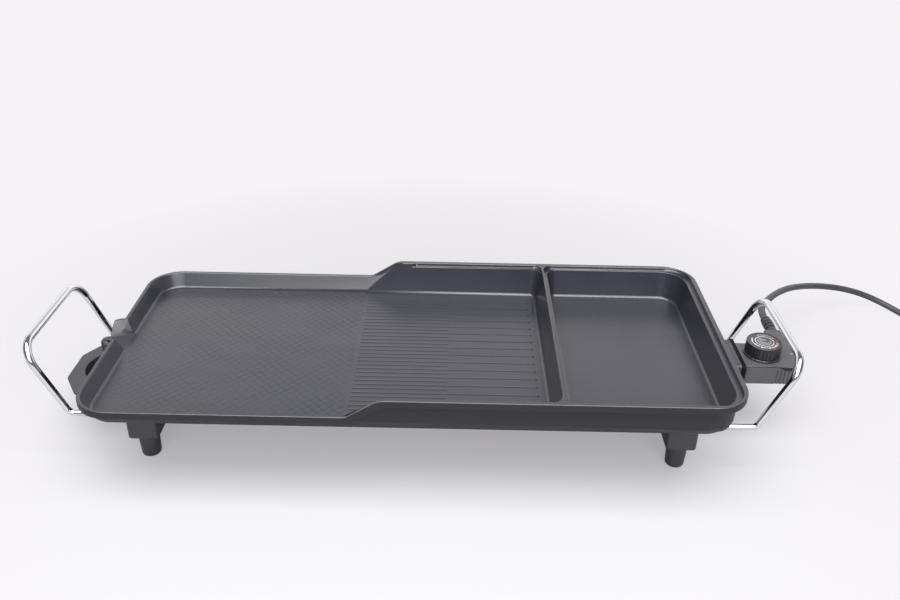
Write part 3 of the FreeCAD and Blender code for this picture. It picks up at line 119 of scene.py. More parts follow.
def add_bump(material, shader, height, distance, strength):
    """Gives the shader a bump from a height."""
    tree = material.node_tree
    bump = tree.nodes.new("ShaderNodeBump")
    bump.inputs["Distance"].default_value = distance
    bump.inputs["Strength"].default_value = strength
    tree.links.new(height, bump.inputs["Height"])
    tree.links.new(bump.outputs["Normal"], shader.inputs["Normal"])


def colour_by(material, shader, pattern, dark, light):
    """Lets a pattern vary the shader's colour between two."""
    material.node_tree.links.new(tint(material, pattern, dark, light), shader.inputs["Base Color"])


def gloss_by(material, shader, pattern, low, high):
    """Lets a pattern vary the shader's roughness between two."""
    material.node_tree.links.new(spread(material, pattern, low, high), shader.inputs["Roughness"])


def rubber_material():
    """Dull black rubber: fine grain, and a dusty bloom that lifts the colour in patches."""
    material, shader = node_material("rubber_sheath", (0.02, 0.02, 0.022), 0.5)
    bloom = add_noise(material, 38.0)
    grain = add_noise(material, 2600.0, 2.0)
    colour_by(material, shader, bloom, (0.030, 0.030, 0.033), (0.052, 0.051, 0.055))
    gloss_by(material, shader, bloom, 0.38, 0.56)
    add_bump(material, shader, grain, 0.06 * MM, 0.5)
    return material


def in_frame(points):
    """Points in millimetres about the pan's middle, as metres in the frame."""
    return np.array(points) * MM + [PAN_X, 0, 0]


def mesh_points(mesh):
    """A mesh's points as rows of three."""
    points = np.empty(len(mesh.vertices) * 3)
    mesh.vertices.foreach_get("co", points)
    return points.reshape(-1, 3)


CORD_RADIUS = 4.3 * MM
CORD_ROUTE = [
    (428.5, 97, 87),
    (428.9, 113.5, 87),
    (435.5, 134, 86),
    (454, 160, 82),
    (475, 188, 76),
    (503, 220, 66),
    (538, 249, 54),
    (576, 273, 41),
    (613, 288, 29),
    (645, 291, 18.5),
    (670, 282, 10),
    (688, 264, 5.4),
    (698, 243, 4.6),
    (698, 221, 4.6),
]
COIL_TURN = 48.0 * MM
COIL_STEP = 8.6 * MM
COIL_SHIFT = 0.3 * MM
LAYER_LOW = 4.6 * MM
LAYER_HIGH = 12.6 * MM
TURNS = 3
POINTS_PER_TURN = 14
# Share of a turn over which the lead crosses to the next turn or layer.
CROSSING = 0.22
LEAD_LENGTH = 30.0 * MM
TAIL_LENGTH = 52.0 * MM
TAIL_MIDDLE = 30.0 * MM
route = in_frame(CORD_ROUTE)
turn_outer = COIL_TURN + COIL_STEP / 2
turn_inner = turn_outer - COIL_STEP
coil_centre = np.array([route[-1][0] + turn_outer - COIL_SHIFT, route[-1][1] - LEAD_LENGTH, 0])


def smooth_step(share):
    """Eases 0 to 1 with level ends: three times the square less twice the cube."""
    return share * share * (3 - 2 * share)


def coil_points():
    """Points of three and a half turns: outer, inner, inner above, half of the outer above.

    The angle runs evenly; the radius is the outer or the inner turn's and the height the lower or
    the upper layer's, and each eases to the next over about the last fifth of a turn.
    """
    angle = np.arange(1, TURNS * POINTS_PER_TURN + POINTS_PER_TURN // 2) / POINTS_PER_TURN
    lap = np.floor(angle).astype(int)
    ease = smooth_step(np.clip((angle - lap - (1 - CROSSING)) / CROSSING, 0, 1))
    radii = np.array([turn_outer, turn_inner, turn_inner, turn_outer, turn_outer])
    heights = np.array([LAYER_LOW, LAYER_LOW, LAYER_HIGH, LAYER_HIGH, LAYER_HIGH])
    radius = radii[lap] * (1 - ease) + radii[lap + 1] * ease
    height = heights[lap] * (1 - ease) + heights[lap + 1] * ease
    turn = math.pi + 2 * math.pi * angle
    return coil_centre + np.column_stack([radius * np.cos(turn), radius * np.sin(turn), height])


def nurbs_cord(name, points, radius, material):
    """A round cord on one open NURBS spline whose control points are the route's."""
    curve = bpy.data.curves.new(name, "CURVE")
    curve.dimensions = "3D"
    curve.bevel_depth = radius
    curve.bevel_resolution = 5
    curve.use_fill_caps = True
    curve.resolution_u = 8
    spline = curve.splines.new("NURBS")
    spline.points.add(len(points) - 1)
    spline.points.foreach_set("co", np.column_stack([points, np.ones(len(points))]).ravel())
    spline.order_u = 3
    spline.use_endpoint_u = True
    curve.materials.append(material)
    return new_object(name, curve)


rubber = rubber_material()
entering = coil_centre + [-turn_outer, 0, LAYER_LOW]
leaving = coil_centre + [[turn_outer, y, LAYER_HIGH] for y in (0, TAIL_MIDDLE, TAIL_LENGTH)]
cord_line = np.vstack([route, entering, coil_points(), leaving])
cord = nurbs_cord("mains_lead", cord_line, CORD_RADIUS, rubber)


def flattened(curve_object):
    """The mesh that a curve or a text gives."""
    bpy.context.view_layer.update()
    live = curve_object.evaluated_get(bpy.context.evaluated_depsgraph_get())
    return bpy.data.meshes.new_from_object(live)


def spline_length(curve_object):
    """Length of a curve's own centreline, from the mesh that it gives with no bevel."""
    bare = curve_object.data.copy()
    bare.bevel_depth = 0
    probe = new_object("length_probe", bare)
    points = mesh_points(flattened(probe))
    bpy.data.objects.remove(probe)
    return float(np.linalg.norm(np.diff(points, axis=0), axis=1).sum())


cord_length = spline_length(cord)
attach(cord, "controller")
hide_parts("cord", "cord_coil")


# ------------------------------------------------------------------ pan
# One die-cast aluminium pan: griddle, ribs, divider, deep compartment, spout and rim in one piece,
# with a dark satin non-stick coat inside and matt baked paint outside. Its edges are rounded.
def merged_copy(node, name, flat=math.radians(0.6)):
    """A copy of a CAD node with its loose triangles joined and its flat faces made whole."""
    mesh = nodes[node].data.copy()
    mesh.name = name
    mesh.materials.clear()
    work = bmesh.new()
    work.from_mesh(mesh)
    bmesh.ops.remove_doubles(work, verts=work.verts, dist=1e-6)
    bmesh.ops.dissolve_degenerate(work, edges=work.edges, dist=1e-7)
    bmesh.ops.dissolve_limit(work, angle_limit=flat, verts=work.verts, edges=work.edges)
    for face in work.faces:
        face.smooth = True
    work.to_mesh(mesh)
    work.free()
    return new_object(name, mesh)


def ease_edges(piece, width, sharp=28.0, segments=2, above=None):
    """Rounds a piece's sharp edges and keeps its flat faces flat.

    A height leaves the edges below it sharp; only outer edges are then rounded.
    """
    mesh = piece.data
    mesh.set_sharp_from_angle(angle=math.radians(sharp))
    bevel = piece.modifiers.new("eased_edges", "BEVEL")
    bevel.width = width
    bevel.segments = segments
    bevel.limit_method = "ANGLE"
    bevel.angle_limit = math.radians(sharp)
    bevel.use_clamp_overlap = above is None
    bevel.miter_outer = "MITER_ARC"
    if above is not None:
        work = bmesh.new()
        work.from_mesh(mesh)
        weight = work.edges.layers.float.new("bevel_weight_edge")
        for edge in work.edges:
            outer = edge.is_convex and edge.calc_face_angle(0) > math.radians(sharp)
            edge[weight] = float(outer and min(vert.co.z for vert in edge.verts) > above)
        work.to_mesh(mesh)
        work.free()
        bevel.limit_method = "WEIGHT"
    flats = piece.modifiers.new("flat_faces_flat", "WEIGHTED_NORMAL")
    flats.keep_sharp = True
    flats.weight = 70
    return piece


def mesh_object(name, verts, faces, smooth=True):
    """An object from vertices and faces, shaded smooth."""
    mesh = bpy.data.meshes.new(name)
    mesh.from_pydata(np.asarray(verts).tolist(), [], faces)
    if smooth:
        mesh.shade_smooth()
    mesh.update()
    return new_object(name, mesh)


def dress(piece, body, slot, material, *stands_for):
    """Gives a piece its finish and its body, and hides the CAD nodes that it stands for; slot is
    not used.
    """
    piece.data.materials.clear()
    piece.data.materials.append(material)
    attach(piece, body)
    if stands_for:
        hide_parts(*stands_for)
    return piece


def nonstick_material(name, low, high):
    """Satin non-stick coat: fine orange-peel, tiny specks, and soft cloudy wear in the gloss."""
    material, shader = node_material(name, (0.026, 0.026, 0.032), high)
    cloud = add_noise(material, 14.0, 4.0)
    peel = add_noise(material, 900.0, 3.0, 0.6)
    speck = add_noise(material, 420.0, 2.0, 0.7)
    colour_by(material, shader, speck, (0.016, 0.0162, 0.0245), (0.023, 0.0230, 0.033))
    gloss_by(material, shader, cloud, low, high)
    shader.inputs["Specular IOR Level"].default_value = 0.95
    add_bump(material, shader, peel, 0.08 * MM, 0.5)
    return material


def paint_material():
    """Matt baked paint on the casting's outside: darker than the coat, finely pebbled."""
    material, shader = node_material("baked_paint", (0.017, 0.0165, 0.018), 0.55)
    cloud = add_noise(material, 9.0, 4.0)
    pebble = add_noise(material, 700.0, 3.0, 0.6)
    colour_by(material, shader, cloud, (0.010, 0.0096, 0.0105), (0.015, 0.0144, 0.0157))
    gloss_by(material, shader, cloud, 0.48, 0.62)
    shader.inputs["Specular IOR Level"].default_value = 0.4
    add_bump(material, shader, pebble, 0.1 * MM, 0.5)
    return material


# The casting's sizes are in millimetres about the pan's middle.
PAN_HALF = np.array([340.0, 150.0])
PAN_CORNER = 38.0
FLOOR = 92.0
# The rim climbs by its rise over a length along the pan.
CLIMB_START = -59.0
CLIMB_LENGTH = 33.0
RIM_RISE = 21.0
# The band round the rim: the height and the depth of its lower edge, and how far that is lifted.
BAND_EDGE = 99.5
BAND_DEPTH = 6.0
BAND_LIFT = 2.5
CLIMB_CURVE = 5.0
# How near a point has to be to count as on the edge, across it and in height.
DEPTH_SLACK = 0.6
EDGE_SLACK = 0.7
# The inner wall leans inward to the floor; the hull lies at least this far outside it, or under
# the floor, and between these insets.
WALL_FOOT = 11.0
WALL_LEAN = 0.41
WALL_THICK = 1.6
UNDER_FLOOR = 0.1
HULL_INSETS = (4.5, 22.0)
# The hull draws in below a height, by a full amount at a depth under it.
TUCK_HEIGHT = 101.0
TUCK_DEPTH = 15.0
TUCK_LOW_END = 4.0
TUCK_MORE = 2.0
# The ribbed part of the floor, and the share of the ribs' height that is kept.
RIB_TOPS = (FLOOR + 0.05, FLOOR + 2.5)
RIB_ENDS = (-68.0, 134.0)
RIB_SIDE = 131.0
RIB_KEPT = 0.3


def pan_points(mesh):
    """A mesh's points in millimetres about the pan's middle."""
    return mesh_points(mesh) / MM - [PAN_X / MM, 0, 0]


def put_back(mesh, points):
    """Gives a mesh its points, from millimetres about the pan's middle."""
    mesh.vertices.foreach_set("co", in_frame(points).ravel())
    mesh.update()


def between(values, limits):
    """Which values lie between two limits."""
    return (values > limits[0]) & (values < limits[1])


def inset_of(points):
    """How far points lie inside the rim's rounded outline, in millimetres, and the way outward.

    Past the straight sides the outline is an arc about a corner's centre, so the distance there is
    the arc's radius less the distance from that centre.
    """
    past = np.abs(points[:, :2]) - (PAN_HALF - PAN_CORNER)
    reach = np.linalg.norm(np.maximum(past, 0), axis=1)
    beyond = reach + np.minimum(past.max(axis=1), 0)
    nearest = np.where(past >= past.max(axis=1)[:, None], 1.0, 0.0)
    outward = np.where(reach[:, None] > 0, np.maximum(past, 0), nearest)
    outward = outward / np.linalg.norm(outward, axis=1)[:, None] * np.sign(points[:, :2])
    return PAN_CORNER - beyond, outward


def softened_casting(piece):
    """Moves the merged casting's points to the softer forms that its mould leaves.

    The band's lower edge, which climbs with the rim, stands 2.5 mm higher. Below a height of
    101 mm the hull draws in towards its foot, in proportion to the depth, by up to 4 mm at the
    shallow end and 6 mm at the deep end. The ribs keep three tenths of their height.
    """
    points = pan_points(piece.data)
    inset, outward = inset_of(points)
    along, height = points[:, 0], points[:, 2]
    climb = np.clip((along - CLIMB_START) / CLIMB_LENGTH, 0, 1)
    above_edge = height - (BAND_EDGE + RIM_RISE * climb)
    # Where the rim climbs, the edge curves up to a few millimetres over the straight line.
    curved = CLIMB_CURVE * between(climb, (0, 1))
    band_edge = between(inset, (-DEPTH_SLACK, BAND_DEPTH + DEPTH_SLACK))
    band_edge &= between(above_edge, (-EDGE_SLACK, curved + EDGE_SLACK))
    inner_wall = WALL_FOOT - (height - FLOOR) * WALL_LEAN
    shell = (height < FLOOR - UNDER_FLOOR) | (inset < inner_wall - WALL_THICK)
    hull = shell & between(inset, HULL_INSETS) & ~band_edge
    tuck = np.clip((TUCK_HEIGHT - height) / TUCK_DEPTH, 0, 1) * (TUCK_LOW_END + TUCK_MORE * climb)
    points[:, :2] -= outward * np.where(hull, tuck, 0)[:, None]
    points[band_edge, 2] += BAND_LIFT
    ribs = between(height, RIB_TOPS) & between(along, RIB_ENDS) & (np.abs(points[:, 1]) < RIB_SIDE)
    points[ribs, 2] = FLOOR + (points[ribs, 2] - FLOOR) * RIB_KEPT
    put_back(piece.data, points)
    return piece


# What is painted: faces that look down, or outward within this depth of the outline.
LOOKS_DOWN = -0.5
LOOKS_UP = 0.6
LOOKS_OUT = 0.35
PAINT_DEPTH = 16.0
SPOUT_START = -325.0
SPOUT_Y = 6.4
SPOUT_HALF = 23.0


def paint_outside(piece, paint, worn):
    """Gives the faces that look outward or down the paint, and those of the spout a duller coat."""
    mesh = piece.data
    mesh.materials.append(paint)
    mesh.materials.append(worn)
    for face in mesh.polygons:
        middle = np.array(face.center) / MM - [PAN_X / MM, 0, 0]
        inset, outward = inset_of(middle[None, :])
        outside = inset[0] < PAINT_DEPTH and np.dot(outward[0], face.normal[:2]) > LOOKS_OUT
        if face.normal[2] < LOOKS_DOWN or (outside and face.normal[2] < LOOKS_UP):
            face.material_index = 1
        elif middle[0] < SPOUT_START and abs(middle[1] - SPOUT_Y) < SPOUT_HALF:
            face.material_index = 2
    return piece


nonstick = nonstick_material("nonstick_coat", 0.28, 0.36)
pan = softened_casting(merged_copy("pan", "griddle_pan"))
ease_edges(pan, 0.7 * MM, above=96 * MM)
dress(pan, "grill", "nonstick", nonstick, "pan")
paint_outside(pan, paint_material(), nonstick_material("spout_coat", 0.46, 0.56))


# ------------------------------------------------------------------ griddle relief
# The open griddle's floor carries a shallow cast lattice: low square pads set on their corners,
# parted by fine grooves and cut off in a straight border beside the walls and the ribs.
def clipped(corners, axis, limit, sign):
    """The part of a flat polygon on one side of a line across an axis; the cut edge is straight."""
    kept = []
    for here, there in zip(corners, corners[1:] + corners[:1]):
        inside, next_inside = (sign * (limit - end[axis]) >= 0 for end in (here, there))
        if inside:
            kept.append(here)
        if inside != next_inside:
            share = (limit - here[axis]) / (there[axis] - here[axis])
            kept.append(tuple(np.array(here) + share * (np.array(there) - np.array(here))))
    return kept


LATTICE_STEP = 11.0
LATTICE_SPAN = ((-321.0, -69.5), (-130.5, 130.5))
PAD_SIDES = (7.31, 7.56)
PAD_HEIGHT = 0.18
PAD_ROOT = 0.05
PAD_DRAFT = 0.08
SMALLEST_PAD = 1.5
# The wear's mean share of the height and its swing, and its waves' lengths over two pi: along the
# pan, the bend of that wave and how strong it is, across the pan, and the slant of that wave.
WEAR_MEAN = 0.66
WEAR_SWING = 0.34
WAVE_ALONG = 17.0
WAVE_BEND = 23.0
BEND_STRENGTH = 1.3
WAVE_ACROSS = 13.0
WAVE_SLANT = 61.0


def lattice_pads():
    """Vertices and faces of the pads, in millimetres about the pan's middle.

    Pads stand on a staggered grid: every second row is shifted by half a step. Each is a block on
    its corner, cut to the border and rooted just under the floor, whose top is drawn in by 0.08 mm.
    Slips of a pad that the border leaves are dropped. Wear has left the pads between a third and
    the whole of their height, as a sine wave along the pan times a cosine wave across it.
    """
    verts, faces = [], []
    half = LATTICE_STEP / 2
    wide, long = PAD_SIDES
    (left, right), (front, back) = LATTICE_SPAN
    for row in range(int((back - front) / half) + 2):
        for column in range(int((right - left) / LATTICE_STEP) + 2):
            centre = np.array([left + LATTICE_STEP * column + half * (row % 2), front + half * row])
            outline = [tuple(centre + np.array([a - b, a + b]) / math.sqrt(8))
                       for a, b in ((wide, -long), (wide, long), (-wide, long), (-wide, -long))]
            for axis, limit, sign in ((0, right, 1), (0, left, -1), (1, back, 1), (1, front, -1)):
                outline = clipped(outline, axis, limit, sign)
            if len(outline) < 3:
                continue
            middle = np.mean(outline, axis=0)
            foot = np.array(outline)
            reach = np.linalg.norm(foot - middle, axis=1).max()
            if reach < SMALLEST_PAD:
                continue
            top = middle + (foot - middle) * (1 - PAD_DRAFT / reach)
            start, count = len(verts), len(foot)
            x, y = centre
            wear = math.sin(x / WAVE_ALONG + BEND_STRENGTH * math.sin(y / WAVE_BEND))
            wear *= math.cos(y / WAVE_ACROSS - x / WAVE_SLANT)
            height = PAD_HEIGHT * (WEAR_MEAN + WEAR_SWING * wear)
            verts.extend([(*corner, -PAD_ROOT) for corner in foot])
            verts.extend([(*corner, height) for corner in top])
            faces.append([start + count + i for i in range(count)])
            faces.append([start + i for i in reversed(range(count))])
            for i in range(count):
                j = (i + 1) % count
                faces.append([start + i, start + j, start + count + j, start + count + i])
    return np.array(verts), faces


pad_verts, pad_faces = lattice_pads()
pads = mesh_object("griddle_relief", in_frame(pad_verts + [0, 0, FLOOR]), pad_faces, False)
dress(pads, "grill", "nonstick", nonstick)


# ------------------------------------------------------------------ painted shade at the rib ends
# A small flat dark disc, a hair over the floor, beside the right end of each long rib: painted
# shade where each rib's end shades the floor.
RIB_COUNT = 17
RIB_PITCH = 15.15
RIB_MIDDLE = -5.6
SHADE_DOT_RADIUS = 1.4
SHADE_DOT_SIDES = 16
SHADE_DOT_X = 133.6
# A dot's centre lies a little to the front of its rib's, and its disc a hair over the floor.
SHADE_DOT_SHIFT = -0.8
SHADE_DOT_LIFT = 0.04
first_shade_dot = [SHADE_DOT_X, RIB_MIDDLE - RIB_COUNT // 2 * RIB_PITCH + SHADE_DOT_SHIFT, FLOOR + SHADE_DOT_LIFT]
# A near-black colour for painted shade; the strip under the case's cover below uses it too.
painted_shade_finish, painted_shade_shader = node_material("painted_shade_mottle", (0.004, 0.004, 0.0045), 0.6)
painted_shade_mottle = add_noise(painted_shade_finish, 800.0)
colour_by(painted_shade_finish, painted_shade_shader, painted_shade_mottle, (0.003, 0.003, 0.0035), (0.006, 0.006, 0.0065))
shade_dot_turn = np.linspace(0, 2 * math.pi, SHADE_DOT_SIDES, endpoint=False)
shade_dot_round = SHADE_DOT_RADIUS * np.column_stack([np.cos(shade_dot_turn), np.sin(shade_dot_turn), 0 * shade_dot_turn])
shade_dot_verts = np.vstack([shade_dot_round + first_shade_dot + [0, rib * RIB_PITCH, 0] for rib in range(RIB_COUNT)])
shade_dot_faces = np.arange(RIB_COUNT * SHADE_DOT_SIDES).reshape(RIB_COUNT, SHADE_DOT_SIDES).tolist()
rib_end_shade_dots = mesh_object("rib_end_painted_shade", in_frame(shade_dot_verts), shade_dot_faces, False)
dress(rib_end_shade_dots, "grill", "nonstick", painted_shade_finish)


# ------------------------------------------------------------------ heating element
# A bent tubular element of grey oxidised steel under the pan. Four saddle clips and their screws
# hold it in its groove, and two nickelled brass pins stand out of its ends.
def steel_material(name, base, rough, clouds=60.0):
    """Bare or plated metal with clouds of heat colour, up to three tenths darker."""
    material, shader = node_material(name, base, rough, 1.0)
    cloud = add_noise(material, clouds)
    dark = tuple(0.7 * part for part in base)
    colour_by(material, shader, cloud, dark, base)
    gloss_by(material, shader, cloud, rough - 0.08, rough + 0.1)
    return material


def dressed_copy(node, name, width, body, slot, material):
    """A copy of a CAD node with its edges eased by a width, dressed to stand for that node."""
    return dress(ease_edges(merged_copy(node, name), width), body, slot, material, node)


element_steel = steel_material("oxidised_steel", (0.19, 0.18, 0.17), 0.45)
bright_steel = steel_material("zinc_plate", (0.62, 0.62, 0.60), 0.3, 150.0)
contact_brass = steel_material("nickelled_brass", (0.66, 0.60, 0.48), 0.25, 150.0)
element_tube = merged_copy("heating_element", "element_tube")
dress(element_tube, "grill", "element_steel", element_steel, "heating_element")
dressed_copy("element_clips", "tube_clips", 0.2 * MM, "grill", "bright_steel", bright_steel)
dressed_copy("terminal_pins", "element_pins", 0.5 * MM, "grill", "contact_brass", contact_brass)
for name in ("clip_screws", "socket_screws", "foot_screws", "runner_screws"):
    dressed_copy(name, "bright_" + name, 0.4 * MM, "grill", "bright_steel", bright_steel)


# ------------------------------------------------------------------ socket housing
# A black bakelite frame, moulded in one piece and screwed up under the pan's right end. It shrouds
# the element's pins and guides the controller's nose.
def bakelite_material():
    """Moulded phenolic: black, half gloss, with a faint flow mottle and fine moulded grain."""
    material, shader = node_material("bakelite_black", (0.034, 0.034, 0.037), 0.42)
    flow = add_noise(material, 55.0, 4.0)
    grain = add_noise(material, 1500.0, 2.0)
    colour_by(material, shader, flow, (0.034, 0.034, 0.037), (0.046, 0.045, 0.049))
    gloss_by(material, shader, flow, 0.32, 0.46)
    add_bump(material, shader, grain, 0.05 * MM, 0.4)
    return material


bakelite = bakelite_material()
dressed_copy("socket_housing", "socket_frame", 0.5 * MM, "grill", "bakelite", bakelite)

# ------------------------------------------------------------------ feet
# Four black bakelite feet: a block screwed up under the pan, and a round leg that stands on the
# table. Each block is moulded round one end of a wire handle.
for corner in ("front_left", "rear_left", "front_right", "rear_right"):
    dressed_copy("foot_" + corner, "leg_" + corner, 0.5 * MM, "grill", "bakelite", bakelite)


# ------------------------------------------------------------------ wire handles
# Two handles of 7 mm chromed steel wire, each bent four times and gripped by a pair of feet. The
# part that the hand holds is stouter, up to 8.6 mm.
def rounded_route(corners, radii, steps=14):
    """Points and directions along straight runs joined by tangent arcs.

    At each inner corner the arc of the given radius touches both runs; it is sampled evenly in
    angle by turning its start about its centre.
    """
    corners = [np.array(corner, float) for corner in corners]
    points = [corners[0]]
    for before, corner, after, radius in zip(corners, corners[1:], corners[2:], radii):
        back = (before - corner) / np.linalg.norm(before - corner)
        ahead = (after - corner) / np.linalg.norm(after - corner)
        half = math.acos(np.clip(back @ ahead, -1, 1)) / 2
        start = corner + back * radius / math.tan(half)
        centre = corner + (back + ahead) / np.linalg.norm(back + ahead) * radius / math.sin(half)
        out = (start - centre) / radius
        along = -back
        sweep = np.linspace(0, math.pi - 2 * half, steps)[:, None]
        points.extend(centre + radius * (out * np.cos(sweep) + along * np.sin(sweep)))
    points.append(corners[-1])
    points = np.array(points)
    ahead = np.diff(points, axis=0)
    ahead /= np.linalg.norm(ahead, axis=1)[:, None]
    directions = np.vstack([ahead[:1], ahead[:-1] + ahead[1:], ahead[-1:]])
    return points, directions / np.linalg.norm(directions, axis=1)[:, None]


def carried_ring(points, directions, radii, around=32):
    """Vertices and faces of a round bar: rings of the given radii across a path, both ends capped.

    Each ring's first axis is the last ring's, with its share along the path taken off, so that the
    bar never twists. The very first comes from any direction that isn't the path's own.
    """
    side = np.cross(directions[0], [0.3, 0.5, 0.8])
    rings = []
    turn = np.linspace(0, 2 * math.pi, around, endpoint=False)[:, None]
    for point, ahead, radius in zip(points, directions, radii):
        side = side - ahead * (side @ ahead)
        side /= np.linalg.norm(side)
        other = np.cross(ahead, side)
        rings.append(point + radius * (side * np.cos(turn) + other * np.sin(turn)))
    verts = np.vstack(rings)
    count = len(points)
    ring, spoke = np.meshgrid(np.arange(count - 1), np.arange(around), indexing="ij")
    here, there = ring * around + spoke, ring * around + (spoke + 1) % around
    quads = np.stack([here, there, there + around, here + around], axis=-1).reshape(-1, 4)
    faces = quads.tolist()
    faces.append(list(range(around))[::-1])
    faces.append(list(range((count - 1) * around, count * around)))
    return verts, faces


def sharpen(piece, angle=35.0):
    """Marks the edges that are sharper than an angle, so that flats stay flat."""
    piece.data.set_sharp_from_angle(angle=math.radians(angle))
    return piece


WIRE_RADIUS = 3.5 * MM
WIRE_BENDS = [9 * MM, 24 * MM, 24 * MM, 9 * MM]
FOOT_Y = 75 * MM
# Distances from the pan's middle: the wire's end in the foot, its knee and its grip.
WIRE_END = 297 * MM
KNEE = 374 * MM
GRIP = 411 * MM
KNEE_HEIGHT = 52 * MM
GRIP_HEIGHT = 134.5 * MM
# The grip gets stouter over this height above the first.
STOUT_FROM = 100 * MM
STOUT_OVER = 22 * MM
STOUTER = 0.8 * MM
chrome, chrome_shader = node_material("chrome_plate", (0.66, 0.665, 0.68), 0.07, 1.0)
gloss_by(chrome, chrome_shader, add_noise(chrome, 90.0), 0.05, 0.10)
for end, side in (("left", -1), ("right", 1)):
    inner, knee, grip = (side * distance + PAN_X for distance in (WIRE_END, KNEE, GRIP))
    corners = [
        (inner, -FOOT_Y, KNEE_HEIGHT), (knee, -FOOT_Y, KNEE_HEIGHT), (grip, -FOOT_Y, GRIP_HEIGHT),
        (grip, FOOT_Y, GRIP_HEIGHT), (knee, FOOT_Y, KNEE_HEIGHT), (inner, FOOT_Y, KNEE_HEIGHT),
    ]
    line, headings = rounded_route(corners, WIRE_BENDS)
    # The outer side of the grip stays in line with the legs'.
    stout = STOUTER * smooth_step(np.clip((line[:, 2] - STOUT_FROM) / STOUT_OVER, 0, 1))
    line = line - stout[:, None] * [side, 0, 1]
    wire = mesh_object("wire_handle_" + end, *carried_ring(line, headings, WIRE_RADIUS + stout))
    dress(sharpen(wire), "grill", "chrome_wire", chrome, "handle_" + end)


# ------------------------------------------------------------------ grease tray and runners
# A one-piece black tray with a round cup under the spout. It slides in two folded runners that
# are screwed up under the pan.
def plastic_material(name, dark, light, low, high, scale=70.0):
    """Moulded plastic: fine spark-eroded grain over a faint flow mottle."""
    material, shader = node_material(name, light, high)
    flow = add_noise(material, scale, 4.0)
    grain = add_noise(material, 2200.0, 2.0)
    colour_by(material, shader, flow, dark, light)
    gloss_by(material, shader, flow, low, high)
    add_bump(material, shader, grain, 0.06 * MM, 0.5)
    return material


def set_shine(material, level):
    """Sets how strongly a material mirrors: 0.5 is usual."""
    material.node_tree.nodes["Principled BSDF"].inputs["Specular IOR Level"].default_value = level


tray_plastic = plastic_material(
    "tray_plastic", (0.035, 0.034, 0.037), (0.050, 0.049, 0.053), 0.36, 0.48)
dressed_copy("drip_tray", "grease_tray", 0.8 * MM, "tray", "tray_plastic", tray_plastic)
for side in ("front", "rear"):
    dressed_copy("runner_" + side, "tray_runner_" + side, 0.3 * MM,
                 "grill", "runner_plastic", tray_plastic)

# ------------------------------------------------------------------ plug-in controller
# A two-part plastic case with a black plug nose. The nose carries two contact sleeves and the
# temperature probe into the socket; the thermostat sits inside under the dial.
case_plastic = plastic_material(
    "case_plastic", (0.066, 0.064, 0.069), (0.088, 0.086, 0.092), 0.4, 0.52)
for half in ("base", "cover"):
    dressed_copy("controller_" + half, "case_" + half, 0.4 * MM,
                 "controller", "case_plastic", case_plastic)
# Black plastic, and painted shade: its colour and its shine are set below plastic's, for the shaded
# gap between the socket and the case.
nose_black_and_shade = plastic_material(
    "nose_black_and_shade", (0.0015, 0.0015, 0.0016), (0.003, 0.003, 0.0032), 0.55, 0.7)
set_shine(nose_black_and_shade, 0.15)
dressed_copy("nose_plate", "plug_nose", 0.5 * MM, "controller", "bakelite", nose_black_and_shade)
stat_ceramic = plastic_material(
    "stat_ceramic", (0.55, 0.53, 0.48), (0.72, 0.70, 0.66), 0.5, 0.7)
for name, slot, finish in (
        ("controller_screws", "bright_steel", bright_steel),
        ("contact_sleeves", "contact_brass", contact_brass),
        ("probe_rod", "bright_steel", bright_steel),
        ("thermostat", "stat_ceramic", stat_ceramic),
        ("contact_blades", "contact_brass", contact_brass)):
    dressed_copy(name, "case_" + name, 0.2 * MM, "controller", slot, finish)


# ------------------------------------------------------------------ dial
# A moulded black knob with flutes on the thermostat's shaft. A disc, printed with a ring, arcs and
# numbers, is pressed into its top.
def bounds_of(piece):
    """The lowest and the highest corner of a piece's box."""
    corners = np.array([piece.matrix_world @ Vector(corner) for corner in piece.bound_box])
    return corners.min(axis=0), corners.max(axis=0)


SKIRT_HEIGHT = 2.6 * MM
LOOKS_STRAIGHT_UP = 0.8
knob_plastic = plastic_material(
    "knob_plastic", (0.009, 0.009, 0.0095), (0.016, 0.016, 0.017), 0.28, 0.42)
# The disc's grey is partly its own tone and partly painted sheen of the light on its top.
disc_print = plastic_material(
    "disc_print", (0.045, 0.045, 0.048), (0.060, 0.060, 0.064), 0.4, 0.5)
knob = dressed_copy("dial_knob", "fluted_knob", 0.3 * MM, "dial", "knob_plastic", knob_plastic)
# The skirt, below the flutes, is polished. The faces that look straight up get the disc's lighter
# finish: painted sheen of the light on the knob's top.
knob_skirt = plastic_material(
    "knob_skirt", (0.02, 0.02, 0.021), (0.03, 0.03, 0.031), 0.10, 0.16)
set_shine(knob_skirt, 1.0)
knob.data.materials.append(knob_skirt)
knob.data.materials.append(disc_print)
skirt_top = bounds_of(nodes["dial_knob"])[0][2] + SKIRT_HEIGHT
for face in knob.data.polygons:
    if face.center[2] < skirt_top and face.normal[2] > LOOKS_DOWN:
        face.material_index = 1
    elif face.normal[2] > LOOKS_STRAIGHT_UP:
        face.material_index = 2
dressed_copy("dial_disc", "printed_disc", 0.2 * MM, "dial", "disc_print", disc_print)
dress(merged_copy("dial_shaft", "knob_shaft"), "dial", "bright_steel", bright_steel, "dial_shaft")
disc_low, disc_high = bounds_of(nodes["dial_disc"])
disc_middle = (disc_low + disc_high) / 2
DIAL_CENTRE = np.array([disc_middle[0], disc_middle[1], disc_high[2]])
PRINT_LIFT = 0.04
NUMBER_RADIUS = 13.9 * MM
NUMBER_SIZE = 4.2 * MM
white_print, _ = node_material("white_print", (0.74, 0.74, 0.75), 0.55)
grey_print, _ = node_material("grey_print", (0.30, 0.30, 0.31), 0.5)
red_print, _ = node_material("red_print", (0.55, 0.03, 0.05), 0.5)


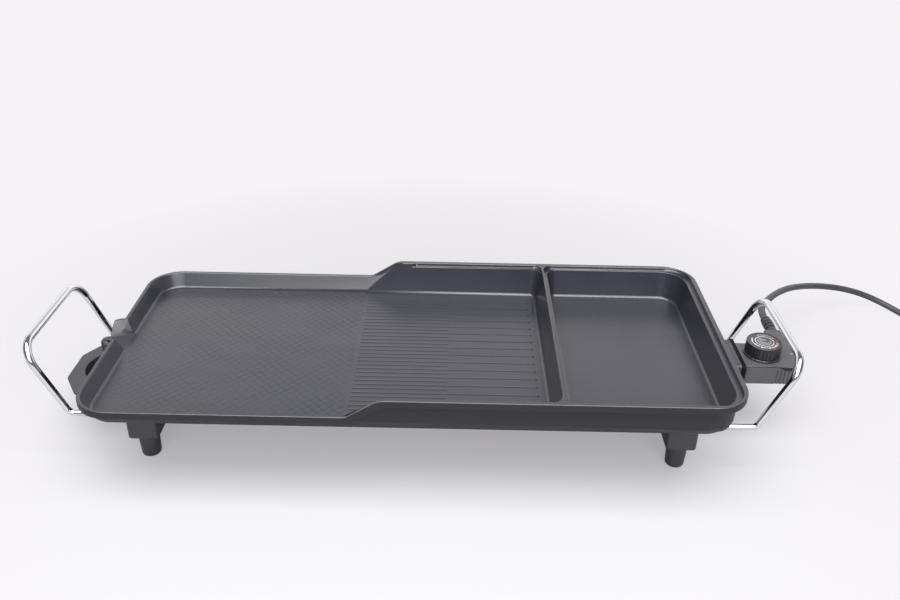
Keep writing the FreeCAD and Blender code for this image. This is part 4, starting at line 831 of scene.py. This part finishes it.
def printed_arc(name, inner, outer, start, end, finish):
    """A flat printed arc a hair above the disc, between two radii and two angles in degrees.

    Its points lie on both circles, at even steps of about three degrees.
    """
    turn = np.radians(np.linspace(start, end, max(int(abs(end - start) / 3), 2) + 1))
    across, along, lift = np.cos(turn), np.sin(turn), np.full(len(turn), PRINT_LIFT)
    flat = [np.column_stack([radius * across, radius * along, lift]) * MM
            for radius in (inner, outer)]
    verts = np.vstack(flat) + DIAL_CENTRE
    count = len(turn)
    faces = [[i + count, i + count + 1, i + 1, i] for i in range(count - 1)]
    return dress(mesh_object(name, verts, faces, False), "dial", "disc_print", finish)


printed_arc("print_ring", 9.8, 10.5, 0, 360, white_print)
for ring in range(3):
    inner, start = 2.2 + 2.2 * ring, 20 + 40 * ring
    printed_arc("print_wave_%d" % ring, inner, inner + 1, start, start + 280, grey_print)
printed_arc("print_off_arc", 13.2, 14.1, 148, 232, white_print)
printed_arc("print_start_arc", 13.4, 13.9, 24, 112, white_print)
printed_arc("print_red_mark", 12.4, 14.9, -9, 5, red_print)


def printed_number(digits, angle):
    """A flat number on the disc, at an angle in degrees, with its top towards the middle.

    Its own first axis is laid along the circle and its second against the radius.
    """
    letters = bpy.data.curves.new("print_" + digits, "FONT")
    letters.body = digits
    letters.size = NUMBER_SIZE
    letters.align_x = "CENTER"
    letters.align_y = "CENTER"
    probe = new_object("letters_" + digits, letters)
    mesh = flattened(probe)
    bpy.data.objects.remove(probe)
    points = mesh_points(mesh)
    out = np.radians(angle)
    radial = np.array([np.cos(out), np.sin(out), 0])
    around = np.array([-np.sin(out), np.cos(out), 0])
    placed = DIAL_CENTRE + NUMBER_RADIUS * radial + points[:, :1] * around - points[:, 1:2] * radial
    placed[:, 2] += PRINT_LIFT * MM
    mesh.vertices.foreach_set("co", placed.ravel())
    mesh.update()
    return dress(new_object("print_" + digits, mesh), "dial", "disc_print", white_print)


for digits, angle in (("80", 246), ("110", 268), ("140", 290), ("180", 312), ("230", 334)):
    printed_number(digits, angle)

# ------------------------------------------------------------------ case marks
# A white mark printed on the case, which the dial is read against, and a dark strip under the
# cover's front edge: the seam there, with painted shade under the cover's overhang, widening to the
# right. Both are flat strips a hair off the case.
MARK_HEIGHT = 98.03
SEAM_SHADE_Y = -25.05
mark_corners = [(426.8, 2.1), (431.2, 1.7), (431.2, 2.4), (426.8, 2.8)]
mark_verts = [(x, y, MARK_HEIGHT) for x, y in mark_corners]
index_mark = mesh_object("index_mark", in_frame(mark_verts), [(0, 1, 2, 3)], False)
dress(index_mark, "controller", "case_plastic", white_print)
# Places along the strip of seam and painted shade, each with the heights of its upper and lower
# side.
SEAM_AND_SHADE = [(369, 97.4, 96.5), (385, 97.8, 96.9), (398, 97.8, 96.9), (407, 97.5, 96.3),
        (412, 97.3, 93.4), (421, 96.6, 92.2)]
seam_shade_verts = [(x, SEAM_SHADE_Y, top) for x, top, _ in SEAM_AND_SHADE] + [(x, SEAM_SHADE_Y, low) for x, _, low in SEAM_AND_SHADE]
count = len(SEAM_AND_SHADE)
seam_shade_faces = [(i, i + count, i + count + 1, i + 1) for i in range(count - 1)]
# A dark strip: the cover's seam, and painted shade under its overhang.
cover_seam_shade = mesh_object("cover_seam_shade", in_frame(seam_shade_verts), seam_shade_faces, False)
dress(cover_seam_shade, "controller", "case_plastic", painted_shade_finish)


# ------------------------------------------------------------------ strain relief and plug
# A ribbed rubber sleeve where the lead leaves the case, and a two-pin plug at the lead's far end.
# Both are moulded in rubber, and the pins are nickelled.

# The sleeve's axis, its start and length along Y, its radius there and how much that tapers.
SLEEVE_AXIS = np.array([428.5, 87.0])
SLEEVE_START = 55.0
SLEEVE_LENGTH = 42.0
SLEEVE_RADIUS = 6.2
SLEEVE_TAPER = 1.0
# The rings' swell: its start and the length of its sine, as shares of the sleeve, and its height.
SWELL_START = 0.38
SWELL_LENGTH = 0.7
SWELL = 0.9
# The grooves' depths before and after the swell starts, as shares, and the share that lies between.
FADED_GROOVE = 0.25
DEEP_GROOVE = 1.6
FADE_LENGTH = 0.08
# Only points at most this far below the rings, and at least this far from the axis, are moved.
BELOW_RINGS = 1.2
INNERMOST = 4.0


def ringed_sleeve(piece):
    """Shapes the sleeve's plain grooves as its mould does, by moving points to and from its axis.

    Near the case the grooves fade to a quarter of their depth. Over the far part the rings swell
    by up to 0.9 mm in a sine and the grooves between them are 1.6 times as deep.
    """
    points = pan_points(piece.data)
    offset = points[:, [0, 2]] - SLEEVE_AXIS
    radius = np.linalg.norm(offset, axis=1)
    along = (points[:, 1] - SLEEVE_START) / SLEEVE_LENGTH
    cone = SLEEVE_RADIUS - SLEEVE_TAPER * along
    depth = cone - radius
    far = np.clip((along - SWELL_START) / FADE_LENGTH, 0, 1)
    swell = SWELL * np.sin(np.pi * np.clip((along - SWELL_START) / SWELL_LENGTH, 0, 1))
    deeper = FADED_GROOVE + (DEEP_GROOVE - FADED_GROOVE) * far
    shaped = cone + far * swell - depth * deeper
    # Points nearer the axis than the floors of the grooves stay as they are.
    outer = (depth < BELOW_RINGS) & (radius > INNERMOST)
    scale = np.where(outer, shaped / np.maximum(radius, 1), 1)
    points[:, [0, 2]] = offset * scale[:, None] + SLEEVE_AXIS
    put_back(piece.data, points)
    return piece


sleeve = ease_edges(ringed_sleeve(merged_copy("cord_relief", "lead_sleeve")), 0.3 * MM)
dress(sleeve, "controller", "cord_rubber", rubber, "cord_relief")
plug_body = dressed_copy("plug_body", "mains_plug", 1.2 * MM, "controller", "cord_rubber", rubber)
plug_pins = dressed_copy("plug_pins", "mains_pins", 0.8 * MM,
                         "controller", "pin_nickel", bright_steel)

# ------------------------------------------------------------------ floor and light
# A plain pale table, one large soft light above it, another in front, and a pale surround.
TABLE_HALF = 30.0
table_corners = [(-1, -1, 0), (1, -1, 0), (1, 1, 0), (-1, 1, 0)]
floor_mesh = bpy.data.meshes.new("table")
floor_mesh.from_pydata((np.array(table_corners) * TABLE_HALF).tolist(), [], [(0, 1, 2, 3)])
floor = new_object("table", floor_mesh)
floor_material, floor_shader = node_material("pale_table", (0.51, 0.504, 0.51), 0.6)
tree = floor_material.node_tree
path = tree.nodes.new("ShaderNodeLightPath")
glow = tree.nodes.new("ShaderNodeEmission")
glow.inputs["Color"].default_value = (0.915, 0.893, 0.915, 1)
blend = tree.nodes.new("ShaderNodeMixShader")
# Near the model the lamps light the table; farther off it goes over to an even pale tone. The
# tone's share near the model, and the distances between which it grows to the whole:
NEAR_SHARE = 0.34
EVEN_FROM = 0.36
EVEN_TO = 0.78
place = tree.nodes.new("ShaderNodeTexCoord")
reach = tree.nodes.new("ShaderNodeVectorMath")
reach.operation = "LENGTH"
tree.links.new(place.outputs["Object"], reach.inputs[0])
share = tree.nodes.new("ShaderNodeMath")
share.operation = "MULTIPLY"
farther = spread(floor_material, reach.outputs["Value"], NEAR_SHARE, 1.0, EVEN_FROM, EVEN_TO)
tree.links.new(farther, share.inputs[1])
tree.links.new(path.outputs["Is Camera Ray"], share.inputs[0])
tree.links.new(share.outputs[0], blend.inputs[0])
tree.links.new(floor_shader.outputs[0], blend.inputs[1])
tree.links.new(glow.outputs[0], blend.inputs[2])
# Seen from below, the table is clear, so that the model's underside can be looked at.
facing = tree.nodes.new("ShaderNodeNewGeometry")
clear = tree.nodes.new("ShaderNodeBsdfTransparent")
sided = tree.nodes.new("ShaderNodeMixShader")
tree.links.new(facing.outputs["Backfacing"], sided.inputs[0])
tree.links.new(blend.outputs[0], sided.inputs[1])
tree.links.new(clear.outputs[0], sided.inputs[2])
tree.links.new(sided.outputs[0], tree.nodes["Material Output"].inputs["Surface"])
floor.data.materials.append(floor_material)

world = bpy.data.worlds.new("surround")
bpy.context.scene.world = world
world.use_nodes = True
tree = world.node_tree
background = tree.nodes["Background"]
# The room is stronger in the gloss than as light, since the lamps do most of the lighting.
ROOM_LIGHT = 0.6
ROOM_GLOSS = 1.35
seen_by = tree.nodes.new("ShaderNodeLightPath")
strength = spread(world, seen_by.outputs["Is Glossy Ray"], ROOM_LIGHT, ROOM_GLOSS, 0.0, 1.0)
tree.links.new(strength, background.inputs["Strength"])
heading = tree.nodes.new("ShaderNodeTexCoord")
parts = tree.nodes.new("ShaderNodeSeparateXYZ")
tree.links.new(heading.outputs["Generated"], parts.inputs[0])
# The room is bright behind the table and dim overhead, at the sides and in front.
behind = spread(world, parts.outputs["Y"], 0.0, 1.0, 0.0, 0.7)
overhead = spread(world, parts.outputs["Z"], 1.0, 0.0, 0.45, 0.8)
lit = tree.nodes.new("ShaderNodeMath")
lit.operation = "MULTIPLY"
tree.links.new(behind, lit.inputs[0])
tree.links.new(overhead, lit.inputs[1])
room = tree.nodes.new("ShaderNodeMix")
room.data_type = "RGBA"
room.inputs["A"].default_value = (0.16, 0.16, 0.18, 1)
room.inputs["B"].default_value = (1.0, 0.99, 1.0, 1)
tree.links.new(lit.outputs[0], room.inputs["Factor"])
# The camera itself sees one plain pale tone past the table's edge.
plain = tree.nodes.new("ShaderNodeMix")
plain.data_type = "RGBA"
plain.inputs["B"].default_value = (1.52, 1.49, 1.52, 1)
tree.links.new(seen_by.outputs["Is Camera Ray"], plain.inputs["Factor"])
tree.links.new(room.outputs["Result"], plain.inputs["A"])
tree.links.new(plain.outputs["Result"], background.inputs["Color"])


def soft_light(name, place, aim, size, power, colour=(1, 1, 1)):
    """A rectangular area light at a place, turned to face a point."""
    data = bpy.data.lights.new(name, "AREA")
    data.shape = "RECTANGLE"
    data.size, data.size_y = size
    data.energy = power
    data.color = colour
    lamp = new_object(name, data)
    lamp.location = place
    towards = np.array(aim) - np.array(place)
    lamp.rotation_mode = "QUATERNION"
    lamp.rotation_quaternion = Vector(towards).to_track_quat("-Z", "Y")
    return lamp


LIT_POINT = (0, 0, 0.1)
soft_light("top_light", (0.0, -0.5, 1.9), LIT_POINT, (2.4, 1.2), 62)
soft_light("front_light", (0.1, -1.9, 1.55), LIT_POINT, (2.4, 1.8), 54, (0.95, 0.955, 1.0))

bpy.context.view_layer.update()
